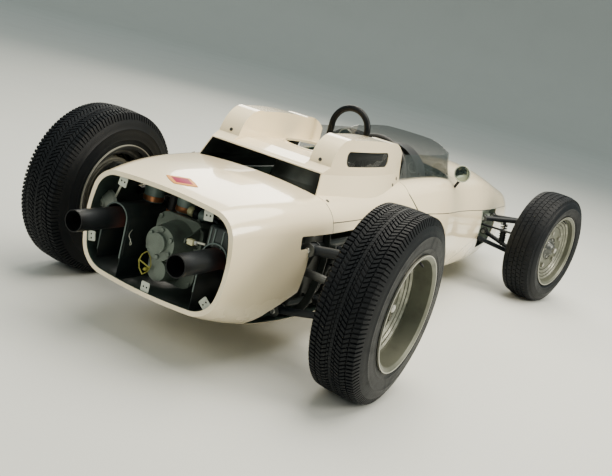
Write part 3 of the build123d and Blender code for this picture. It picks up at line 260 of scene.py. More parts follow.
@dataclass(frozen=True)
class Finish(Look):
    """A plain finish: one colour with soft mottling, wear in its gloss and a fine grain."""

    colour: Colour
    roughness: float = 0.5
    metallic: float = 0.0
    coat: float = 0.0
    soil: float = 0.25
    soil_colour: Colour = (0.05, 0.045, 0.04)
    soil_scale: float = 9.0
    grain: float = 0.0
    specular: float = 0.5
    grain_scale: float = 240.0
    wear_scale: float = 60.0

    def draw(self, made: Graph) -> None:
        """Feeds the shader of the graph.

        Args:
            made: the graph.
        """
        patches = made.patches(self.soil_scale, 0.42, 0.78)
        made.set(Base_Color=made.mix(patches * self.soil, self.colour, self.soil_colour),
                 Roughness=self.roughness + patches * 0.18 - made.noise(self.wear_scale) * 0.06,
                 Metallic=self.metallic, Coat_Weight=self.coat, Coat_Roughness=0.06,
                 Specular_IOR_Level=self.specular)
        if self.grain:
            made.bump(made.noise(self.grain_scale, 3.0), self.grain)


class Paint(Enum):
    """The plain finishes of the car, each by its place."""

    HOOP_BLACK = Finish("hoop_black", (0.003, 0.004, 0.005), 0.34, 0.0, 0.0, 0.1, (0.012, 0.012, 0.012),
                        specular=0.16)
    SATIN_BLACK = Finish("satin_black", (0.008, 0.011, 0.014), 0.42, 0.0, 0.0, 0.3, (0.030, 0.030, 0.026),
                         specular=0.3)
    STEEL = Finish("dark_steel", (0.11, 0.115, 0.11), 0.4, 0.85, 0.0, 0.4)
    TAB = Finish("tab_paint", (0.50, 0.53, 0.45), 0.42, 0.0, 0.2, 0.3)
    CASTING = Finish("engine_casting", (0.17, 0.18, 0.165), 0.55, 0.6, 0.0, 0.5, grain=0.0006)
    GEARBOX = Finish("gearbox_casting", (0.105, 0.130, 0.108), 0.42, 0.35, 0.15, 0.6, (0.025, 0.026, 0.022),
                     15.0, 0.0008)
    FAN = Finish("fan_casting", (0.34, 0.35, 0.32), 0.4, 0.8, 0.0, 0.3)
    SHROUD = Finish("shroud_sheet", (0.030, 0.040, 0.040), 0.44, 0.3, 0.0, 0.5, (0.075, 0.072, 0.06), 22.0)
    EDGE = Finish("shroud_edge", (0.15, 0.19, 0.18), 0.42, 0.3, 0.0, 0.4)
    CAN = Finish("can_paint", (0.19, 0.26, 0.235), 0.4, 0.1, 0.2, 0.35)
    COPPER = Finish("copper_band", (0.46, 0.19, 0.085), 0.36, 0.8, 0.0, 0.4, (0.12, 0.055, 0.03))
    OLIVE = Finish("link_olive", (0.33, 0.31, 0.045), 0.5, 0.1, 0.0, 0.4)
    STRAW = Finish("block_straw", (0.66, 0.63, 0.36), 0.45, 0.0, 0.1, 0.35)
    ZINC = Finish("zinc_fastener", (0.55, 0.54, 0.50), 0.32, 0.95, 0.0, 0.3)
    BRIGHT = Finish("bright_metal", (0.80, 0.79, 0.76), 0.16, 1.0, 0.0, 0.12)
    LINER = Finish("footbox_liner", (0.78, 0.86, 0.74), 0.42, 0.0, 0.2, 0.3, (0.34, 0.38, 0.32), 14.0)
    SCREW = Finish("screw_head", (0.035, 0.036, 0.034), 0.38, 0.6, 0.0, 0.3)
    GLASS = Finish("mirror_glass", (0.20, 0.25, 0.24), 0.07, 1.0, 0.0, 0.2, (0.12, 0.14, 0.13))
    SEAT_SHELL = Finish("seat_sheet", (0.42, 0.42, 0.40), 0.38, 0.9, 0.0, 0.25)
    DASH = Finish("dash_black", (0.02, 0.021, 0.022), 0.4, 0.0, 0.2, 0.2, grain=0.0002)
    DIAL = Finish("dial_face", (0.01, 0.01, 0.011), 0.3, 0.0, 0.6, 0.05)
    MARK = Finish("dial_mark", (0.85, 0.84, 0.76), 0.5, 0.0, 0.0, 0.05)
    COOLER = Finish("cooler_core", (0.05, 0.052, 0.05), 0.5, 0.7, 0.0, 0.4)
    RUBBER = Finish("boot_rubber", (0.012, 0.012, 0.013), 0.6, 0.0, 0.0, 0.3)
    MESH = Finish("woven_mesh", (0.020, 0.026, 0.027), 0.5, 0.0, 0.0, 0.3, specular=0.2)
    WIRE = Finish("pale_wire", (0.62, 0.62, 0.52), 0.45, 0.0, 0.0, 0.2)
    FLOOR = Finish("studio_floor", (0.56, 0.57, 0.54), 0.6, 0.0, 0.0, 0.10, (0.46, 0.47, 0.45), 0.9)


@cache
def mixed(finish: Paint | Look) -> Material:
    """The material of a finish, mixed once."""
    return (finish.value if isinstance(finish, Paint) else finish).material()


@dataclass(frozen=True)
class Seam:
    """A shut line in side view, from one place and height to another."""

    start: Flat
    end: Flat
    half: float = 0.0017

    def mask(self, along: Signal, height: Signal) -> Signal:
        """Where the line is.

        Args:
            along: place along the car.
            height: height above the ground.

        Returns:
            1 on the line and 0 off it.
        """
        run = Vector(self.end) - Vector(self.start)
        way = run.normalized()
        level = way.x * self.start[1] - way.y * self.start[0]
        middle = way.x * self.start[0] + way.y * self.start[1] + run.length / 2
        offset = along * -way.y + height * way.x
        reach = along * way.x + height * way.y
        return offset.near(level, self.half) * reach.near(middle, run.length / 2)


SEAMS = (
    Seam((-0.315, 0.503), (1.84, 0.3943)),
    Seam((-1.175, 0.520), (-0.315, 0.503)),
    Seam((-1.175, 0.09), (-1.175, 0.577)),
    Seam((-0.415, 0.589), (-0.315, 0.503)),
    Seam((-0.415, 0.589), (-0.415, 0.860)),
    Seam((-0.305, 0.150), (-0.305, 0.5025)),
    Seam((-0.305, 0.150), (0.275, 0.160)),
    Seam((0.275, 0.160), (0.789, 0.302)),
)


@dataclass(frozen=True)
class BodyPaint(Look):
    """Glossy cream over the outside of the panels, dusty low down, with dark shut lines, and painted shade in
    a dark colour on the faces that look inwards or down.
    """

    deck: bool = False
    colour: Colour = (0.95, 0.81, 0.55)
    faded: Colour = (0.88, 0.77, 0.55)
    dust: Colour = (0.42, 0.38, 0.28)
    # Colour of the painted shade on the faces that look inwards or down.
    inside_shade: Colour = (0.050, 0.078, 0.066)
    shut_line: Colour = (0.03, 0.03, 0.027)
    dusty: Flat = (0.10, 0.32)
    middle_z: float = 0.37
    humps_from: float = 0.215
    trough: Flat = (0.187, 0.193)
    trough_z: Flat = (0.600, 0.620)

    def shaded_faces(self, made: Graph, across: Signal, height: Signal) -> Signal:
        """Where the faces look inwards or down, which take painted shade in a dark colour.

        Args:
            made: the graph that works it out.
            across: place across the car.
            height: height above the ground.

        Returns:
            1 on the inner faces and 0 on the outer ones.
        """
        _, normal_y, normal_z = made.split(made.node("ShaderNodeTexCoord", output="Normal"))
        if not self.deck:
            return 1.0 - (normal_y * across + normal_z * (height - self.middle_z)).step(-0.075, -0.045)
        aside = across.size()
        outer = aside.step(self.humps_from - 0.003, self.humps_from + 0.003)
        inner = (1.0 - aside.step(*self.trough)) * height.step(*self.trough_z)
        under = (0.0 - normal_z).step(0.15, 0.30)
        inwards = (0.0 - normal_y * across).step(0.02, 0.05) * outer
        return under.either(inwards).either((normal_y * across).step(0.08, 0.12) * inner)

    def draw(self, made: Graph) -> None:
        """Feeds the shader of the graph.

        Args:
            made: the graph.
        """
        along, across, height = made.axes()
        low = (1.0 - height.step(*self.dusty)) * made.patches(5.0, 0.35, 0.75)
        line = SEAMS[0].mask(along, height)
        for seam in SEAMS[1:]:
            line = line.either(seam.mask(along, height))
        tone = made.mix(made.noise(2.2, 2.0) * 0.10, self.colour, self.faded)
        outside = made.mix(line, made.mix(low * 0.35, tone, self.dust), self.shut_line)
        # Painted shade: the faces that look inwards or down take a dark colour in place of the cream.
        shaded_faces = self.shaded_faces(made, across, height)
        made.set(Base_Color=made.mix(shaded_faces, outside, self.inside_shade),
                 Roughness=0.22 + low * 0.30 + made.noise(30.0) * 0.04 + shaded_faces * 0.2,
                 Coat_Weight=1.0 - low * 0.6 - shaded_faces * 0.8, Coat_Roughness=0.04)


@dataclass(frozen=True)
class WheelLook(Look):
    """A finish that changes with the distance from a wheel's axle or along it."""

    place: Point
    out: Point

    def position(self, made: Graph) -> tuple[Signal, Signal]:
        """Distance from the axle, and place along it.

        Args:
            made: the graph that works it out.

        Returns:
            The radius and the place along the axle.
        """
        offset = made.vector("SUBTRACT", made.place(), self.place)
        radius = made.vector("LENGTH", made.vector("CROSS_PRODUCT", offset, self.out), output="Value")
        return radius, made.vector("DOT_PRODUCT", offset, self.out, output="Value")


@dataclass(frozen=True)
class TyreRubber(WheelLook):
    """Blackish rubber with a little dust on the tread."""

    tread_from: float

    def draw(self, made: Graph) -> None:
        """Feeds the shader of the graph.

        Args:
            made: the graph.
        """
        radius, _ = self.position(made)
        tread = radius.step(self.tread_from, self.tread_from + 0.02)
        dust = made.patches(26.0, 0.45, 0.8)
        made.set(Base_Color=made.mix(dust * (0.25 + tread * 0.25), (0.0026, 0.0038, 0.0056),
                                     (0.014, 0.015, 0.016)),
                 Roughness=0.44 + dust * 0.16 + tread * 0.08, Specular_IOR_Level=0.16)
        made.bump(made.noise(420.0, 2.0), 0.00035)


@dataclass(frozen=True)
class RimMetal(WheelLook):
    """Olive grey paint on a pressed steel wheel, bare at the lip, with painted highlights on its raised rings
    and painted shade in the grooves between them, and nearly black on its inner side.
    """

    lip: float = 0.2045
    highlit_rings: tuple[Flat, ...] = ((0.137, 0.145), (0.155, 0.162), (0.172, 0.179))
    shaded_grooves: tuple[Flat, ...] = ((0.127, 0.134), (0.147, 0.153), (0.164, 0.170))
    inboard_dark_from: Flat = (-0.022, -0.012)

    @staticmethod
    def bands(radius: Signal, places: tuple[Flat, ...]) -> Signal:
        """Rings between pairs of radii.

        Args:
            radius: distance from the axle.
            places: the inner and the outer radius of each ring.

        Returns:
            1 on the rings and 0 elsewhere.
        """
        whole = radius.band(*places[0])
        for place in places[1:]:
            whole = whole.either(radius.band(*place))
        return whole

    def draw(self, made: Graph) -> None:
        """Feeds the shader of the graph.

        Args:
            made: the graph.
        """
        radius, along = self.position(made)
        # Nearly black on the inboard side of the wheel.
        inboard_dark = 1.0 - along.step(*self.inboard_dark_from)
        bare = radius.step(self.lip, self.lip + 0.001)
        # Painted highlight: the raised rings take some of the pale bare metal colour through worn.
        highlit_rings = self.bands(radius, self.highlit_rings) * (0.12 + made.patches(40.0, 0.4, 0.7) * 0.25)
        worn = (bare * 0.75 + highlit_rings) * (1.0 - inboard_dark * 0.5)
        # Painted shade: the grooves between the rings are darkened, on top of dirt patches.
        soil = (made.patches(13.0, 0.40, 0.80) * 0.4).either(self.bands(radius, self.shaded_grooves) * 0.92)
        paint = made.mix(soil, (0.150, 0.155, 0.118), (0.034, 0.034, 0.025))
        paint = made.mix(inboard_dark, paint, (0.010, 0.011, 0.012))
        made.set(Base_Color=made.mix(worn, paint, (0.62, 0.61, 0.52)),
                 Metallic=(1.0 - inboard_dark) * 0.45 + worn * 0.5,
                 Roughness=0.38 - worn * 0.14 + soil * 0.2 + inboard_dark * 0.2)


@dataclass(frozen=True)
class DrumMetal(WheelLook):
    """Dull cast drum with brighter studs and nuts outside the wheel's disc."""

    disc: float

    def draw(self, made: Graph) -> None:
        """Feeds the shader of the graph.

        Args:
            made: the graph.
        """
        _, along = self.position(made)
        nuts = along.step(self.disc, self.disc + 0.001)
        soil = made.patches(18.0, 0.40, 0.80)
        cast = made.mix(soil * 0.5, (0.20, 0.20, 0.175), (0.09, 0.07, 0.05))
        made.set(Base_Color=made.mix(nuts, cast, (0.40, 0.39, 0.34)),
                 Metallic=0.6 + nuts * 0.35, Roughness=0.52 - nuts * 0.16 + soil * 0.1)


@dataclass(frozen=True)
class GripAndSpokes(WheelLook):
    """Black leather on the steering wheel's rim, bare metal on its spokes and its column."""

    grip_from: Flat = (0.150, 0.152)

    def draw(self, made: Graph) -> None:
        """Feeds the shader of the graph.

        Args:
            made: the graph.
        """
        radius, _ = self.position(made)
        grip = radius.step(*self.grip_from)
        worn = made.patches(16.0, 0.45, 0.80)
        metal = made.mix(worn * 0.4, (0.42, 0.42, 0.40), (0.22, 0.21, 0.19))
        made.set(Base_Color=made.mix(grip, metal, (0.020, 0.019, 0.018)),
                 Metallic=0.9 - grip * 0.9, Roughness=0.34 + grip * 0.16 + worn * 0.08)
        made.bump(made.noise(300.0), 0.0003)


@dataclass(frozen=True)
class SmokySheet(Look):
    """Clear plastic sheet with a grey tint, dusty near its lower edge."""

    dusty: Flat = (0.61, 0.72)

    def draw(self, made: Graph) -> None:
        """Feeds the shader of the graph.

        Args:
            made: the graph.
        """
        _, _, height = made.axes()
        flecks = made.noise(90.0, 6.0, 0.7).step(0.56, 0.70) * (1.0 - height.step(*self.dusty))
        made.set(Base_Color=made.mix(flecks, (0.030, 0.040, 0.040), (0.24, 0.25, 0.22)),
                 Roughness=0.06 + flecks * 0.2,
                 Alpha=0.40 + flecks * 0.16, Coat_Weight=0.6, Coat_Roughness=0.02)


@dataclass(frozen=True)
class FramePaint(Look):
    """Pale grey green on the tubes at the front, darkened towards the rear with painted shade round the
    engine.
    """

    pale: Colour = (0.58, 0.66, 0.56)
    # Colour of the painted shade on the tubes round the engine.
    dark: Colour = (0.016, 0.021, 0.019)
    soil: Colour = (0.035, 0.034, 0.028)
    pale_from: Flat = (0.2, 0.7)

    def draw(self, made: Graph) -> None:
        """Feeds the shader of the graph.

        Args:
            made: the graph.
        """
        along, _, _ = made.axes()
        soil = made.patches(12.0, 0.42, 0.78)
        # Painted shade: the tubes go from the pale paint at the front to near black aft, for the shadowed
        # engine bay.
        paint = made.mix(along.step(*self.pale_from), self.dark, self.pale)
        made.set(Base_Color=made.mix(soil * 0.4, paint, self.soil), Roughness=0.40 + soil * 0.2,
                 Specular_IOR_Level=0.3)


@dataclass(frozen=True)
class PipeSteel(Look):
    """Dark exhaust steel, rusty red towards its root and sooty at its mouth."""

    root: Flat = (-1.72, -1.62)
    mouth: Flat = (-1.835, -1.79)

    def draw(self, made: Graph) -> None:
        """Feeds the shader of the graph.

        Args:
            made: the graph.
        """
        along, _, _ = made.axes()
        root = along.step(*self.root) * made.patches(14.0, 0.25, 0.62)
        soot = 1.0 - along.step(*self.mouth)
        dark = made.mix(root, (0.026, 0.030, 0.034), (0.070, 0.020, 0.014))
        made.set(Base_Color=made.mix(soot * 0.7, dark, (0.008, 0.008, 0.008)),
                 Metallic=0.75 - root * 0.5, Roughness=0.38 + root * 0.35)
        made.bump(made.noise(160.0), 0.0004)


@dataclass(frozen=True)
class BadgeEnamel(Look):
    """Red enamel with a gold edge, on a small plain lozenge."""

    centre: Point
    long: float
    short: float

    def draw(self, made: Graph) -> None:
        """Feeds the shader of the graph.

        Args:
            made: the graph.
        """
        along, across, _ = made.axes()
        sideways, ahead = (across - self.centre[1]).size(), (along - self.centre[0]).size()
        edge = (sideways * (1 / self.long) + ahead * (1 / self.short)).step(0.70, 0.73)
        made.set(Base_Color=made.mix(edge, (0.26, 0.002, 0.045), (0.66, 0.28, 0.07)),
                 Roughness=0.45 + made.noise(90.0) * 0.08, Specular_IOR_Level=0.2)


@dataclass(frozen=True)
class PadLeather(Look):
    """Soft black leather with a fine grain."""

    grain_scale: float = 330.0

    def draw(self, made: Graph) -> None:
        """Feeds the shader of the graph.

        Args:
            made: the graph.
        """
        cells = made.node("ShaderNodeTexVoronoi", None, {"Vector": made.place(), "Scale": self.grain_scale})
        worn = made.patches(7.0, 0.45, 0.75)
        made.set(Base_Color=made.mix(worn * 0.5, (0.018, 0.017, 0.017), (0.055, 0.048, 0.042)),
                 Roughness=0.42 + worn * 0.16)
        made.bump(cells, 0.0006, 0.5)


class Bench:
    """The bench: starts primitives, picks faces by their place, and finishes pieces."""

    @staticmethod
    def clear() -> None:
        """Deselects everything, so that an operator acts on one piece alone."""
        if bpy.context.object and bpy.context.object.mode != "OBJECT":
            bpy.ops.object.mode_set(mode="OBJECT")
        bpy.ops.object.select_all(action="DESELECT")

    @staticmethod
    def only(piece: Piece) -> None:
        """Makes one piece the selected and the active one.

        Args:
            piece: the piece.
        """
        Bench.clear()
        piece.select_set(True)
        bpy.context.view_layer.objects.active = piece

    @staticmethod
    def named(name: str) -> Piece:
        """Names the piece that was just added.

        Args:
            name: its name and its mesh's.

        Returns:
            The piece.
        """
        piece = bpy.context.object
        piece.name = piece.data.name = name
        return piece

    @staticmethod
    def settled(name: str) -> Piece:
        """Names the piece that was just added, and puts its place and size into its mesh."""
        bpy.ops.object.transform_apply(location=True, rotation=True, scale=True)
        return Bench.named(name)

    @staticmethod
    def on_all(operator: str, **settings: object) -> None:
        """Runs a mesh operator on the whole piece in edit mode."""
        bpy.ops.mesh.select_all(action="SELECT")
        getattr(bpy.ops.mesh, operator)(**settings)

    @staticmethod
    @contextmanager
    def edit(piece: Piece, kind: str = "FACE") -> Iterator[None]:
        """Edit mode on one piece, with nothing selected.

        Args:
            piece: the piece.
            kind: what is selected in it, VERT, EDGE or FACE.
        """
        Bench.only(piece)
        bpy.ops.object.mode_set(mode="EDIT")
        bpy.ops.mesh.select_mode(type=kind)
        bpy.ops.mesh.select_all(action="DESELECT")
        yield
        bpy.ops.object.mode_set(mode="OBJECT")

    @staticmethod
    def pick(piece: Piece, test: Callable[[Vector, Vector], bool], kind: str = "faces") -> None:
        """Selects the faces or vertices that pass a test, in edit mode.

        Args:
            piece: the piece in edit mode.
            test: takes a middle and a normal.
            kind: faces or verts.
        """
        bpy.ops.mesh.select_all(action="DESELECT")
        shape = bmesh.from_edit_mesh(piece.data)
        for item in getattr(shape, kind):
            middle = item.co if kind == "verts" else item.calc_center_median()
            if test(middle, item.normal):
                item.select_set(True)
        shape.select_flush_mode()
        bmesh.update_edit_mesh(piece.data)

    @staticmethod
    def cube(name: str, size: Sequence[float], place: Sequence[float] = (0, 0, 0)) -> Piece:
        """A block of three sizes about its middle.

        Args:
            name: the piece's name.
            size: its three sizes.
            place: its middle.

        Returns:
            The block.
        """
        Bench.clear()
        bpy.ops.mesh.primitive_cube_add(size=1.0, location=place, scale=size)
        return Bench.settled(name)

    @staticmethod
    def block(name: str, size: Sequence[float], place: Sequence[float], width: float,
              segments: int = 2) -> Piece:
        """A block whose edges are rounded by a width."""
        return Bench.apply(Bench.cube(name, size, place), "BEVEL", width=width, segments=segments)

    @staticmethod
    def cylinder(name: str, radius: float, depth: float, z: float = 0.0, sides: int = 28) -> Piece:
        """A cylinder along Z.

        Args:
            name: the piece's name.
            radius: its radius.
            depth: its height.
            z: height of its middle.
            sides: how many sides it has.

        Returns:
            The cylinder.
        """
        Bench.clear()
        bpy.ops.mesh.primitive_cone_add(vertices=sides, radius1=radius, radius2=radius, depth=depth,
                                        location=(0, 0, z))
        return Bench.settled(name)

    @staticmethod
    @contextmanager
    def drawn(name: str, points: Sequence[Point]) -> Iterator[Piece]:
        """Edit mode on a new chain of edges: one point, extruded from place to place.

        Args:
            name: the piece's name.
            points: the places in order.

        Yields:
            The piece.
        """
        Bench.clear()
        bpy.ops.mesh.primitive_plane_add(size=0.01)
        piece = Bench.named(name)
        with Bench.edit(piece, "VERT"):
            Bench.on_all("merge", type="CENTER")
            bpy.ops.mesh.select_all(action="SELECT")
            bpy.ops.transform.translate(value=points[0])
            for start, end in zip(points, points[1:]):
                way = [b - a for a, b in zip(start, end)]
                bpy.ops.mesh.extrude_vertices_move(TRANSFORM_OT_translate={"value": way})
            Bench.on_all("remove_doubles", threshold=MERGE)
            yield piece

    @staticmethod
    def lathe(name: str, outline: Sequence[Flat], steps: int = 32, closed: bool = False) -> Piece:
        """A turned piece about Z: an outline that is spun.

        Args:
            name: the piece's name.
            outline: radius and height of each point.
            steps: how many steps make a turn.
            closed: whether the outline's end joins its start.

        Returns:
            The piece.
        """
        points = [(r, 0, z) for r, z in outline]
        with Bench.drawn(name, points + points[:1] if closed else points) as piece:
            Bench.on_all("spin", steps=steps, angle=TURN, center=(0, 0, 0), axis=(0, 0, 1))
            Bench.on_all("remove_doubles", threshold=MERGE)
            Bench.on_all("normals_make_consistent", inside=False)
        return piece

    @staticmethod
    def slab(name: str, outline: Sequence[Flat], thick: float) -> Piece:
        """A plate: an outline that is filled and extruded.

        Args:
            name: the piece's name.
            outline: x and y of its corners, in order.
            thick: how thick it is, half on each side of Z = 0.

        Returns:
            The plate.
        """
        points = [(x, y, -thick / 2) for x, y in outline]
        with Bench.drawn(name, points + points[:1]) as piece:
            Bench.on_all("edge_face_add")
            Bench.on_all("extrude_region_move", TRANSFORM_OT_translate={"value": (0, 0, thick)})
            Bench.on_all("normals_make_consistent", inside=False)
        return piece

    @staticmethod
    def tube(name: str, points: Sequence[Point], radius: float, smooth: bool = True) -> Piece:
        """A round tube or wire along points.

        Args:
            name: the piece's name.
            points: the points that it follows.
            radius: its radius.
            smooth: whether it bends smoothly between them.

        Returns:
            The tube as a mesh.
        """
        route = [Vector(point) for point in points]
        while len(route) < 5:
            runs = [(b - a).length for a, b in zip(route, route[1:])]
            longest = runs.index(max(runs))
            route.insert(longest + 1, (route[longest] + route[longest + 1]) / 2)
        Bench.clear()
        bpy.ops.curve.primitive_nurbs_path_add()
        path = bpy.context.object.data
        spline = path.splines[0]
        spline.points.add(len(route) - len(spline.points))
        for item, place in zip(spline.points, route):
            item.co = (*place, 1.0)
        spline.use_endpoint_u = True
        spline.order_u = 3 if smooth else 2
        path.bevel_depth = radius
        path.bevel_resolution = 3
        path.resolution_u = 8 if smooth else 1
        path.use_fill_caps = True
        bpy.ops.object.convert(target="MESH")
        return Bench.named(name)

    @staticmethod
    def bolt(name: str, radius: float, height: float, sides: int = 6) -> Piece:
        """A nut or a bolt's head that stands on Z = 0, with its top edge chamfered.

        Args:
            name: the piece's name.
            radius: radius over its corners.
            height: its height.
            sides: how many flats it has; many make a round head.

        Returns:
            The head.
        """
        piece = Bench.cylinder(name, radius, height, height / 2, sides)
        with Bench.edit(piece):
            Bench.pick(piece, lambda middle, normal: normal.z > SQUARE)
            for inset, rise in ((0.18, 0.16), (0.3, -0.10)):
                bpy.ops.mesh.inset(thickness=radius * inset)
                bpy.ops.transform.translate(value=(0, 0, height * rise))
        return piece

    @staticmethod
    def apply(piece: Piece, kind: str, **settings: object) -> Piece:
        """Adds a modifier, sets it and applies it.

        Args:
            piece: the piece.
            kind: the modifier's type.
            settings: its properties.

        Returns:
            The piece.
        """
        Bench.only(piece)
        modifier = piece.modifiers.new(kind.lower(), kind)
        for key, value in settings.items():
            setattr(modifier, key, value)
        bpy.ops.object.modifier_apply(modifier=modifier.name)
        return piece

    @staticmethod
    def ring(piece: Piece, count: int, angle: float | None = None) -> Piece:
        """Repeats a piece round Z.

        Args:
            piece: the piece that repeats.
            count: how many there are in all.
            angle: from one to the next, an even share of a turn if not given.

        Returns:
            The piece with its copies.
        """
        Bench.clear()
        bpy.ops.object.empty_add(rotation=(0, 0, TURN / count if angle is None else angle))
        guide = bpy.context.object
        Bench.apply(piece, "ARRAY", count=count, use_relative_offset=False, use_object_offset=True,
                    offset_object=guide)
        bpy.data.objects.remove(guide)
        return piece

    @staticmethod
    def moved(piece: Piece, matrix: Matrix) -> Piece:
        """Moves a piece by a matrix and leaves its object at the origin.

        Args:
            piece: the piece.
            matrix: where it goes.

        Returns:
            The piece.
        """
        Bench.only(piece)
        piece.matrix_world = matrix
        bpy.ops.object.transform_apply(location=True, rotation=True, scale=True)
        return piece

    @staticmethod
    def copies(piece: Piece, places: Sequence[Matrix]) -> list[Piece]:
        """A copy of a piece at each place, each with its own mesh.

        Args:
            piece: the piece, which is used up.
            places: the matrix of each copy.

        Returns:
            The copies.
        """
        made = []
        for place in places:
            Bench.only(piece)
            bpy.ops.object.duplicate()
            made.append(Bench.moved(bpy.context.object, place))
        bpy.data.objects.remove(piece)
        return made

    @staticmethod
    def painted(piece: Piece, finish: Paint | Look) -> Piece:
        """Gives a piece one material, which it keeps when it is joined to others.

        Args:
            piece: the piece.
            finish: its finish.

        Returns:
            The piece.
        """
        piece.data.materials.clear()
        piece.data.materials.append(mixed(finish))
        return piece

    @staticmethod
    def joined(name: str, parts: Iterable[tuple[Piece, Paint | Look | None]],
               at: Matrix | None = None) -> Piece:
        """Paints parts and makes them one piece.

        Args:
            name: the name of the whole.
            parts: each part and its finish, or None if it has one.
            at: where the whole goes, if it isn't in its place.

        Returns:
            The whole.
        """
        pieces = [Bench.painted(part, finish) if finish else part for part, finish in parts]
        Bench.clear()
        for piece in pieces:
            piece.select_set(True)
        bpy.context.view_layer.objects.active = pieces[0]
        if len(pieces) > 1:
            bpy.ops.object.join()
        whole = Bench.named(name)
        return whole if at is None else Bench.moved(whole, at)

    @staticmethod
    def done(piece: Piece, slot: str, angle: float = 35.0, body: str = "chassis") -> Piece:
        """Shades a finished piece and lets it ride on its body.

        Args:
            piece: the painted piece in its place.
            slot: the name of a slot of the record; not used.
            angle: edges sharper than this stay sharp.
            body: the CAD body that it rides on.

        Returns:
            The piece.
        """
        Bench.only(piece)
        bpy.ops.object.shade_smooth_by_angle(angle=math.radians(angle))
        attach(piece, body)
        LOG.info("%s: %d faces on %s", piece.name, len(piece.data.polygons), body)
        return piece


def dress(node: str, finish: Paint | Look) -> None:
    """Gives a CAD node its material.

    Args:
        node: the node's name.
        finish: its finish.
    """
    piece = CAD[node]
    for slot in piece.material_slots:
        slot.material = mixed(finish)
    if not piece.material_slots:
        piece.data.materials.append(mixed(finish))


def shift(x: float, y: float, z: float) -> Matrix:
    """The matrix of a move."""
    return Matrix.Translation((x, y, z))


def turned(degrees: float, axis: str = "Z") -> Matrix:
    """The matrix of a turn about an axis."""
    return Matrix.Rotation(math.radians(degrees), 4, axis)


def facing(place: Sequence[float], out: Sequence[float], up: Sequence[float] = (0, 0, 1)) -> Matrix:
    """The matrix that puts a piece made along Z at a place, pointing out.

    Args:
        place: where the piece's origin goes.
        out: where its Z axis points.
        up: a direction near its X axis.

    Returns:
        The matrix.
    """
    z = Vector(out).normalized()
    guess = Vector(up)
    if abs(z.dot(guess.normalized())) > 0.95:
        guess = Vector((1, 0, 0))
    y = z.cross(guess).normalized()
    x = y.cross(z)
    matrix = Matrix((x, y, z)).transposed().to_4x4()
    matrix.translation = Vector(place)
    return matrix


def arc(first: Flat, middle: Flat, last: Flat, steps: int) -> list[Flat]:
    """Points on the circle through three points of a plane.

    Args:
        first: where it starts.
        middle: a point on it.
        last: where it ends.
        steps: how many steps it has.

    Returns:
        The points, first and last included.
    """
    (ax, ay), (bx, by), (cx, cy) = first, middle, last
    a, b, c = ax * ax + ay * ay, bx * bx + by * by, cx * cx + cy * cy
    d = 2 * (ax * (by - cy) + bx * (cy - ay) + cx * (ay - by))
    ux = (a * (by - cy) + b * (cy - ay) + c * (ay - by)) / d
    uy = (a * (cx - bx) + b * (ax - cx) + c * (bx - ax)) / d
    radius = math.hypot(ax - ux, ay - uy)
    start = math.atan2(ay - uy, ax - ux)
    mid = (math.atan2(by - uy, bx - ux) - start) % TURN
    end = (math.atan2(cy - uy, cx - ux) - start) % TURN
    if mid > end:
        end -= TURN
    return [(ux + radius * math.cos(start + end * i / steps),
             uy + radius * math.sin(start + end * i / steps)) for i in range(steps + 1)]


@dataclass
class Skin:
    """A CAD node's surface, on which small pieces are seated."""

    node: str

    def __post_init__(self) -> None:
        """Reads the surface once."""
        mesh = CAD[self.node].data
        mesh.calc_loop_triangles()
        points = [vertex.co.copy() for vertex in mesh.vertices]
        self.tree = BVHTree.FromPolygons(points, [tuple(t.vertices) for t in mesh.loop_triangles])

    def hit(self, start: Sequence[float], way: Sequence[float]) -> tuple[Vector, Vector] | None:
        """Where a line meets the surface.

        Args:
            start: where the line starts.
            way: its direction.

        Returns:
            The place and the normal that faces the line's start, or None.
        """
        place, normal, _, _ = self.tree.ray_cast(Vector(start), Vector(way).normalized())
        if place is None:
            return None
        return place, -normal if normal.dot(Vector(way)) > 0 else normal

    def seats(self, lines: Iterable[tuple[Point, Point]], sink: float) -> list[Matrix]:
        """Seats for small heads on both sides of the car, each a little below the surface.

        Args:
            lines: start and direction of each line of sight, as on the left.
            sink: how deep a head's foot stands in the surface.

        Returns:
            The matrix of each seat.
        """
        seats = []
        for (x, y, z), (way_x, way_y, way_z) in lines:
            for _, side in SIDES:
                found = self.hit((x, side * y, z), (way_x, side * way_y, way_z))
                if found:
                    seats.append(facing(found[0] - found[1] * sink, found[1]))
        return seats


@dataclass(frozen=True)
class Corner:
    """One wheel: its place, which way its axle points and the body that it belongs to."""

    name: str
    side: int
    front: bool
    pivot: Point
    offset: float
    steer: float

    @property
    def out(self) -> Vector:
        """Direction of the axle, outboard."""
        turn = math.radians(self.steer)
        return Vector((-self.side * math.sin(turn), self.side * math.cos(turn), 0))

    @property
    def middle(self) -> Vector:
        """Middle of the wheel."""
        return Vector(self.pivot) + self.out * self.offset

    @property
    def axle(self) -> tuple[Point, Point]:
        """Middle of the wheel and direction of its axle."""
        return tuple(self.middle), tuple(self.out)

    @property
    def body(self) -> str:
        """The CAD body of the wheel."""
        return f"wheel_{self.name}"

    @property
    def matrix(self) -> Matrix:
        """Puts a wheel made along Z at the corner."""
        return facing(self.middle, self.out)


CORNERS = (
    *(Corner(f"front_{name}", side, True, (KINGPIN[0], side * KINGPIN[1], FRONT_RADIUS), 0.079, PARKED_STEER)
      for name, side in SIDES),
    *(Corner(f"rear_{name}", side, False, (-1.245, side * 0.640, REAR_RADIUS), 0.0, 0.0)
      for name, side in SIDES),
)


@dataclass(frozen=True)
class TreadRow:
    """One row of tread blocks: place and width across, slant, and the blocks' share of the pitch."""

    place: float
    width: float
    slant: float
    share: float
    shift: float = 0.0


